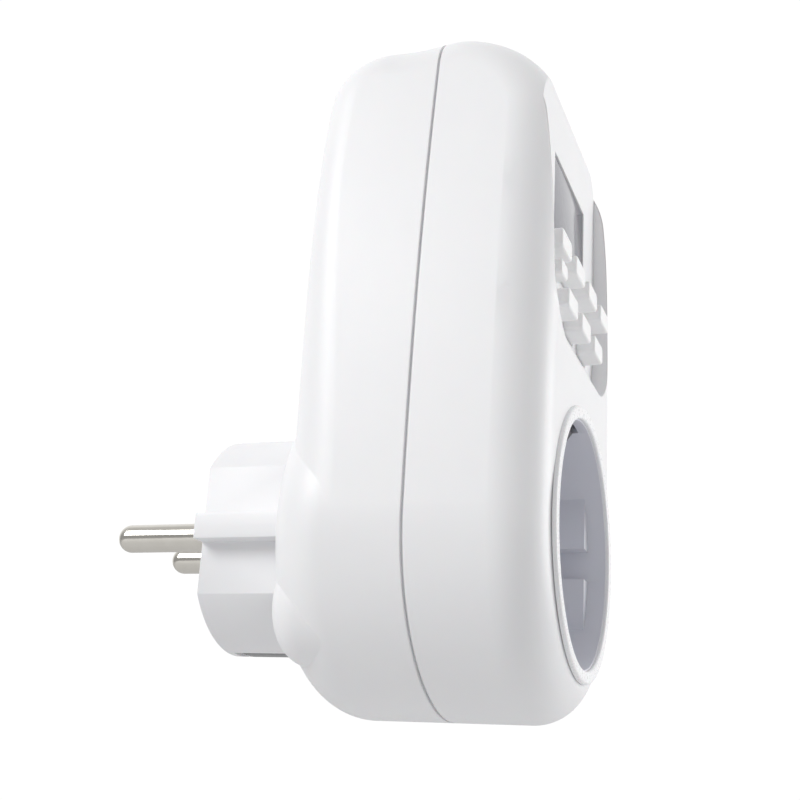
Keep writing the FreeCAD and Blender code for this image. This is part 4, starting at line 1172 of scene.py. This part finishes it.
# ---------------------------------------------------------------- display
@dataclass
class Display:
    """The window, the display cell with its unlit segments, the frame and the contact strip.

    Attributes:
        digits: Digits in the main row.
        digit_wide: Width of a digit.
        digit_tall: Height of a digit.
        stroke: Width of a segment.
        between: Space between two digits.
        gap: Half the space between two segments.
    """

    digits: int = 4
    digit_wide: float = 3.4 * MM
    digit_tall: float = 6.2 * MM
    stroke: float = 0.55 * MM
    between: float = 1.5 * MM
    gap: float = 0.12 * MM

    def window(self) -> bpy.types.Object:
        """The clear pane, with a polished edge.

        Returns:
            The pane.
        """
        low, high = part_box("lcd_window")
        piece = block("display_pane", low, high)
        bpy.ops.object.mode_set(mode="EDIT")
        select(Pick.FACES, looks_forward)
        bpy.ops.mesh.inset(thickness=0.35 * MM, depth=0.0)
        bpy.ops.mesh.inset(thickness=0.2 * MM, depth=0.05 * MM)
        bpy.ops.object.mode_set(mode="OBJECT")
        soften(piece, 0.12 * MM, 2, 60.0)
        return piece

    def cell(self) -> bpy.types.Object:
        """The display cell: one block, its front face inset by a margin and set a little back.

        Returns:
            The cell.
        """
        low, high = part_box("lcd_cell")
        piece = block("display_cell", low, high)
        bpy.ops.object.mode_set(mode="EDIT")
        select(Pick.FACES, looks_forward)
        bpy.ops.mesh.inset(thickness=0.5 * MM, depth=0.0)
        bpy.ops.transform.translate(value=(0, 0.05 * MM, 0))
        bpy.ops.object.mode_set(mode="OBJECT")
        soften(piece, 0.08 * MM, 2, 60.0)
        return piece

    def segments(self) -> bpy.types.Object:
        """The unlit segments: a row of seven-segment figures, each a shade darker than the cell.

        Returns:
            One object with all of them.
        """
        low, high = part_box("lcd_window")
        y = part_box("lcd_cell")[0].y
        middle_z = (low.z + high.z) / 2 - 0.6 * MM
        pitch = self.digit_wide + self.between
        half_wide, half_tall, stroke = self.digit_wide / 2, self.digit_tall / 2, self.stroke
        # Each bar is its middle and its half sizes: three lying, four standing, and the point.
        bars = [(0, up * half_tall, half_wide - stroke - self.gap, stroke / 2) for up in (1, 0, -1)]
        bars += [(side * (half_wide - stroke / 2), up * half_tall / 2, stroke / 2,
                  half_tall / 2 - stroke / 2 - self.gap) for side in (-1, 1) for up in (-1, 1)]
        bars.append((half_wide + self.between / 2, -half_tall, stroke / 2, stroke / 2))
        pieces = []
        for digit in range(self.digits):
            start = (digit - (self.digits - 1) / 2) * pitch
            for across, up, half_x, half_z in bars:
                x, z = start + across, middle_z + up
                pieces.append(block("segment", (x - half_x, y - 0.01 * MM, z - half_z),
                                    (x + half_x, y + 0.05 * MM, z + half_z)))
        row = joined(pieces)
        row.name = "display_segments"
        soften(row, 0.1 * MM, 1, 60.0)
        return row

    def build(self) -> list[str]:
        """Model and dress the sub-assembly.

        Returns:
            Names of the pieces.
        """
        pane, cell, segments = self.window(), self.cell(), self.segments()
        dress(pane, Finishes.WINDOW, "housing", "lcd_window")
        dress(cell, Finishes.CELL, "housing", "lcd_cell")
        dress(segments, Finishes.PRINT, "housing")
        dress_node("lcd_frame", Finishes.FRAME)
        dress_node("contact_strip", Finishes.MAT)
        return [pane.name, cell.name, segments.name, "lcd_frame", "contact_strip"]


# ---------------------------------------------------------------- keys
@dataclass
class Keypad:
    """Seven equal keys in two staggered rows, a smaller one beside them, and the rubber mat behind.

    Attributes:
        lip: How far a key's flange stands out round its cap.
        flange: Thickness of the flange.
        corner: Rounding of the cap's corners.
        rim: Rounding of the cap's front edge.
        dish: Depth of the hollow for the fingertip.
    """

    lip: float = 0.5 * MM
    flange: float = 0.8 * MM
    corner: float = 0.9 * MM
    rim: float = 0.4 * MM
    dish: float = 0.06 * MM

    def key(self, name: str, low: Vector, high: Vector) -> bpy.types.Object:
        """One key, drawn forward from its flange.

        Args:
            name: The piece's name.
            low: Its lowest corner.
            high: Its highest corner.

        Returns:
            The key.
        """
        piece = block(name, (low.x, high.y - self.flange, low.z), high)
        cap = high.y - self.flange - low.y
        bpy.ops.object.mode_set(mode="EDIT")
        select(Pick.FACES, looks_forward)
        bpy.ops.mesh.inset(thickness=self.lip, depth=0.0)
        bpy.ops.mesh.extrude_region_move(TRANSFORM_OT_translate={"value": (0, -cap, 0)})
        select(Pick.EDGES, lambda edge: depth_of(edge) > cap * 0.9)
        bpy.ops.mesh.bevel(offset=self.corner, segments=6, affect="EDGES")
        front = low.y + 0.001 * MM
        select(Pick.EDGES, lambda e: all(v.co.y < front for v in e.verts) and len(e.link_faces) == 2
               and any(abs(f.normal.y) < 0.5 for f in e.link_faces))
        bpy.ops.mesh.bevel(offset=self.rim, segments=4, affect="EDGES")
        select(Pick.FACES, lambda f: f.normal.y < -0.99 and max(v.co.y for v in f.verts) < front)
        bpy.ops.mesh.inset(thickness=self.rim, depth=0.0)
        bpy.ops.transform.translate(value=(0, self.dish, 0))
        bpy.ops.object.mode_set(mode="OBJECT")
        return piece

    def build(self) -> list[str]:
        """Model and dress the sub-assembly.

        Returns:
            Names of the pieces.
        """
        first_low, first_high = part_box("key_1")
        first = self.key("key_1_cap", first_low, first_high)
        keys = {"key_1": first}
        for number in range(2, 8):
            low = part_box(f"key_{number}")[0]
            keys[f"key_{number}"] = copied(first, f"key_{number}_cap", low - first_low)
        keys["key_reset"] = self.key("key_reset_cap", *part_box("key_reset"))
        for node, piece in keys.items():
            dress(piece, Finishes.KEY, node, node, smooth=40.0)
        dress_node("key_mat", Finishes.MAT)
        return [*[piece.name for piece in keys.values()], "key_mat"]


# ---------------------------------------------------------------- boards
@dataclass
class Boards:
    """The two boards and what is soldered to them.

    Attributes:
        leg: Thickness of a chip's leg.
        legs: Legs along each side of the chip.
        cell_depth: Depth of one button cell.
        fuse_cap: Radius of the fuse's caps.
        fuse_reach: Length of a cap.
        crystal_corner: Rounding of the crystal can's ends.
    """

    leg: float = 0.2 * MM
    legs: int = 8
    cell_depth: float = 5.0 * MM
    fuse_cap: float = 2.8 * MM
    fuse_reach: float = 4.0 * MM
    crystal_corner: float = 1.9 * MM

    def can(self, name: str, node: str) -> bpy.types.Object:
        """An electrolytic capacitor: a drawn can, crimped near the board and scored on its top.

        Args:
            name: The piece's name.
            node: The sub-part it stands for.

        Returns:
            The capacitor.
        """
        low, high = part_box(node)
        x, z, radius = (low.x + high.x) / 2, (low.z + high.z) / 2, (high.x - low.x) / 2
        base, top = low.y, high.y
        crimp = radius * 0.92
        profile = [(0, base), (radius * 0.9, base), (radius, base + 0.4 * MM), (radius, base + 1.6 * MM),
                   (crimp, base + 2.0 * MM), (crimp, base + 2.4 * MM), (radius, base + 2.8 * MM),
                   (radius, top - 0.8 * MM), (radius - 0.25 * MM, top - 0.25 * MM), (radius - 0.8 * MM, top),
                   (radius - 1.2 * MM, top - 0.15 * MM), (0, top - 0.15 * MM)]
        piece = turned(name, profile, x, z, 64)
        score = radius * 0.7
        cuts = [block("score", (x - a, top - 0.3 * MM, z - b), (x + a, top + MM, z + b))
                for a, b in ((score, 0.12 * MM), (0.12 * MM, score))]
        combine(piece, cuts, "DIFFERENCE")
        return piece

    def cells(self) -> list[bpy.types.Object]:
        """The two button cells, each with its raised cap.

        Returns:
            The cells.
        """
        low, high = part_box("backup_cells")
        x, z, radius = (low.x + high.x) / 2, (low.z + high.z) / 2, (high.x - low.x) / 2
        pieces = []
        for number, y in enumerate((low.y, high.y - self.cell_depth)):
            end = y + self.cell_depth
            profile = [(0, y), (radius * 0.8, y), (radius * 0.84, y + 0.5 * MM),
                       (radius * 0.92, y + 0.6 * MM), (radius, y + 1.0 * MM), (radius, end - 0.5 * MM),
                       (radius - 0.5 * MM, end), (0, end)]
            pieces.append(turned(f"button_cell_{number}", profile, x, z, 64))
        return pieces

    def fuse(self) -> list[tuple[bpy.types.Object, Finishes]]:
        """The glass fuse: a tube, two caps with legs, and the wire inside.

        Returns:
            Each piece and its finish.
        """
        low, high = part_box("fuse")
        radius, reach = self.fuse_cap, self.fuse_reach
        y, z = high.y - radius, low.z + radius
        pieces = []
        for name, inset, thick, finish in (("fuse_tube", 2 * MM, 2.5 * MM, Finishes.TUBE),
                                           ("fuse_wire", MM, 0.15 * MM, Finishes.CAN)):
            first, last = low.x + inset, high.x - inset
            profile = [(0, first), (thick, first), (thick, last), (0, last)]
            pieces.append((self.lying(name, profile, y, z), finish))
        soft, half = 0.3 * MM, 1.5 * MM
        for number, start in enumerate((low.x, high.x - reach)):
            end, middle = start + reach, start + reach / 2
            profile = [(0, start), (radius - soft, start), (radius, start + soft), (radius, end - soft),
                       (radius - soft, end), (0, end)]
            cap = self.lying(f"fuse_cap_{number}", profile, y, z)
            leg = block("leg", (middle - half, low.y, z - half), (middle + half, low.y + 3 * MM, z + half))
            combine(cap, [leg], "UNION")
            pieces.append((cap, Finishes.CELLS))
        return pieces

    def lying(self, name: str, profile: Sequence[tuple[float, float]], y: float,
              z: float) -> bpy.types.Object:
        """A piece turned about an axis along X.

        Args:
            name: The piece's name.
            profile: Radius and X of each point of the outline.
            y: Y of the axis.
            z: Z of the axis.

        Returns:
            The new object.
        """
        outline = [(x, y + radius, z) for radius, x in profile]
        piece = point(name, outline[0])
        draw_on(outline)
        bpy.ops.mesh.select_all(action="SELECT")
        bpy.ops.mesh.spin(steps=48, angle=2 * math.pi, center=(0, y, z), axis=(1, 0, 0))
        tidy()
        bpy.ops.object.mode_set(mode="OBJECT")
        return piece

    def varistor(self) -> bpy.types.Object:
        """The varistor: a dipped disc, swollen in the middle, with its coated legs.

        Returns:
            The varistor.
        """
        low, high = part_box("varistor")
        x0, x1 = low.x, high.x
        z, radius = (low.z + high.z) / 2, (high.z - low.z) / 2
        y = high.y - radius
        bulge = [(0, x0), (radius * 0.55, x0 + 0.05 * MM), (radius * 0.85, x0 + 0.5 * MM),
                 (radius, (x0 + x1) / 2), (radius * 0.85, x1 - 0.5 * MM), (radius * 0.55, x1 - 0.05 * MM),
                 (0, x1)]
        piece = self.lying("varistor_disc", bulge, y, z)
        foot = block("foot", (x0 + 0.4 * MM, low.y, z - 2 * MM),
                     (x1 - 0.4 * MM, y - radius * 0.7, z + 2 * MM))
        soften(foot, 0.4 * MM, 3)
        combine(piece, [foot], "UNION")
        return piece

    def chip(self) -> list[tuple[bpy.types.Object, Finishes]]:
        """The metering chip: a bevelled body with its legs folded down to the board.

        Returns:
            Each piece and its finish.
        """
        low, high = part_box("metering_chip")
        inset = 0.9 * MM
        body = block("chip_body", (low.x, low.y, low.z + inset), (high.x, high.y - 0.1 * MM, high.z - inset))
        soften(body, 0.15 * MM, 2)
        legs = []
        pitch = (high.x - low.x - 1.4 * MM) / (self.legs - 1)
        for side, edge, end in ((1, high.z - inset, high.z), (-1, low.z + inset, low.z)):
            middle, foot = (low.y + high.y) / 2, high.y - self.leg / 2
            path = [(middle, edge - side * 0.2 * MM), (middle, edge + side * 0.3 * MM),
                    (foot, edge + side * 0.45 * MM), (foot, end)]
            first = strip(f"chip_legs_{side + 1}", path, low.x + 0.5 * MM, low.x + 0.9 * MM, self.leg,
                          0.08 * MM)
            copies = [copied(first, "leg", (pitch * number, 0, 0)) for number in range(1, self.legs)]
            legs.append((joined([first, *copies]), Finishes.CAN))
        return [(body, Finishes.CHIP), *legs]

    def build(self) -> list[str]:
        """Model and dress the sub-assembly.

        Returns:
            Names of the pieces.
        """
        for node, finish in (("main_board", Finishes.BOARD), ("key_board", Finishes.BOARD),
                             ("cell_holder", Finishes.FRAME), ("board_link", Finishes.FRAME),
                             ("wire_line", Finishes.PVC_BROWN), ("wire_neutral", Finishes.PVC_BLUE)):
            dress_node(node, finish)
        made = [("bulk_capacitor", self.can("bulk_can", "bulk_capacitor"), Finishes.CAN)]
        film = block("film_box", *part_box("film_capacitor"))
        soften(film, 0.5 * MM, 3)
        made.append(("film_capacitor", film, Finishes.FILM_BOX))
        crystal = block("crystal_can", *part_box("crystal"))
        bpy.ops.object.mode_set(mode="EDIT")
        select(Pick.EDGES, lambda edge: depth_of(edge) > MM)
        bpy.ops.mesh.bevel(offset=self.crystal_corner, segments=8, affect="EDGES")
        bpy.ops.object.mode_set(mode="OBJECT")
        soften(crystal, 0.3 * MM, 3)
        made.append(("crystal", crystal, Finishes.CRYSTAL))
        made += [("backup_cells", piece, Finishes.CELLS) for piece in self.cells()]
        made += [("fuse", piece, finish) for piece, finish in self.fuse()]
        made.append(("varistor", self.varistor(), Finishes.DIPPED))
        made += [("metering_chip", piece, finish) for piece, finish in self.chip()]
        for node, piece, finish in made:
            dress(piece, finish, "housing", node)
        return ["main_board", "key_board", *[row[1].name for row in made]]


# ---------------------------------------------------------------- studio
@dataclass(frozen=True)
class SoftBox:
    """One square soft box.

    Attributes:
        name: Its name.
        way: The way to it from the meter.
        power: Its power in watts.
    """

    name: str
    way: tuple[float, float, float]
    power: float


@dataclass
class Studio:
    """The pale floor, the soft light all round, and the camera.

    Attributes:
        floor_z: Height of the floor.
        floor_size: Width of the floor.
        eye: The camera's place.
        yaw: Its turn about the vertical, in radians.
        pitch: Its slope, negative when it looks up, in radians.
        roll: Its turn about its own axis, in radians.
        lens: Focal length for a 36 mm wide image, in millimetres.
        far_level: The room's light ahead of the camera.
        side_level: The room's light at eye level on the near side.
        top_level: The room's light overhead.
        boxes: The soft boxes.
        box_size: Width of a soft box.
        box_distance: How far away it hangs.
    """

    floor_z: float = -0.16
    floor_size: float = 6.0
    eye: tuple[float, float, float] = (-0.1990, -0.1004, -0.0435)
    yaw: float = 0.351
    pitch: float = -0.317
    roll: float = 0.058
    lens: float = 57.46
    far_level: float = 1.03
    side_level: float = 0.40
    top_level: float = 0.68
    boxes: tuple[SoftBox, ...] = (SoftBox("left_box", (-0.80, 0.60, 0.60), 5.6),
                                  SoftBox("front_box", (0.50, -0.85, 0.20), 4.2))
    box_size: float = 0.5
    box_distance: float = 1.0

    def basis(self) -> tuple[Vector, Vector, Vector]:
        """The camera's own axes.

        Returns:
            Right, up and backwards.
        """
        level = math.cos(self.pitch)
        back = Vector((-math.cos(self.yaw) * level, -math.sin(self.yaw) * level, math.sin(self.pitch)))
        right = (-back).cross(Vector((0, 0, 1))).normalized()
        up = right.cross(-back)
        cos, sin = math.cos(self.roll), math.sin(self.roll)
        return right * cos + up * sin, up * cos - right * sin, back

    def camera(self) -> None:
        """Make the camera at the viewing angle."""
        right, up, back = self.basis()
        turn = Matrix((right, up, back)).transposed().to_4x4()
        data = bpy.data.cameras.new("viewpoint")
        data.lens = self.lens
        data.sensor_width = 36.0
        data.clip_start = 0.005
        eye = bpy.data.objects.new("viewpoint", data)
        eye.matrix_world = Matrix.Translation(self.eye) @ turn
        bpy.context.scene.collection.objects.link(eye)
        bpy.context.scene.camera = eye

    def floor(self) -> None:
        """Make the pale floor."""
        bpy.ops.object.select_all(action="DESELECT")
        bpy.ops.mesh.primitive_plane_add(size=self.floor_size, location=(0, 0, self.floor_z))
        plane = taken("floor")
        recipe = Recipe("pale_painted_floor")
        # Roller-laid paint, a little mottled.
        mottle = recipe.noise(0.125, 3.0)
        links = {"Base Color": recipe.tint("#D0D0D0", "#CBCBCC", mottle)}
        plane.data.materials.append(recipe.close({"Roughness": 0.9}, links))

    def room(self) -> None:
        """Make the room's own light: white ahead of the camera, dimmer on the near side."""
        world = bpy.data.worlds.new("soft_room")
        bpy.context.scene.world = world
        world.use_nodes = True
        tree = world.node_tree
        tree.nodes.clear()
        ahead = -self.basis()[2]
        way = add_node(tree, "ShaderNodeTexCoord").outputs["Generated"]
        facing = add_node(tree, "ShaderNodeVectorMath", {"operation": "DOT_PRODUCT", 1: ahead}, {0: way})
        height = add_node(tree, "ShaderNodeSeparateXYZ", links={"Vector": way}).outputs["Z"]
        near = add_node(tree, "ShaderNodeMapRange",
                        {"interpolation_type": "SMOOTHSTEP", "From Min": 0.1, "From Max": 0.9,
                         "To Min": self.side_level, "To Max": self.top_level}, {"Value": height})
        far = add_node(tree, "ShaderNodeMapRange",
                       {"interpolation_type": "SMOOTHSTEP", "From Min": 0.35, "From Max": 0.75},
                       {"Value": facing.outputs["Value"]})
        level = add_node(tree, "ShaderNodeMix", {"data_type": "FLOAT", 3: self.far_level},
                         {0: far.outputs["Result"], 2: near.outputs["Result"]})
        background = add_node(tree, "ShaderNodeBackground", {"Color": (1, 1, 1, 1)},
                              {"Strength": level.outputs[0]})
        add_node(tree, "ShaderNodeOutputWorld", links={"Surface": background.outputs[0]})

    def softboxes(self) -> None:
        """Hang the two soft boxes, each turned to the object."""
        for box in self.boxes:
            data = bpy.data.lights.new(box.name, "AREA")
            data.shape = "SQUARE"
            data.size = self.box_size
            data.energy = box.power
            lamp = bpy.data.objects.new(box.name, data)
            direction = Vector(box.way).normalized()
            turn = direction.to_track_quat("Z", "Y").to_matrix().to_4x4()
            lamp.matrix_world = Matrix.Translation(direction * self.box_distance) @ turn
            bpy.context.scene.collection.objects.link(lamp)

    def build(self) -> list[str]:
        """Make the floor, the light and the camera.

        Returns:
            Names of what was made.
        """
        self.floor()
        self.room()
        self.softboxes()
        self.camera()
        bpy.context.scene.view_settings.view_transform = "Standard"
        return ["floor", "soft_room", "viewpoint"]


def main() -> None:
    """Build every sub-assembly in order and report its pieces."""
    logging.basicConfig(level=logging.INFO, format="%(name)s: %(message)s")
    for part in (Studio(), Housing(), Plug(), Socket(), Shutter(), Display(), Keypad(), Boards()):
        for name in part.build():
            LOG.info("%s: %s", type(part).__name__, name)


if __name__ == "__main__":
    main()
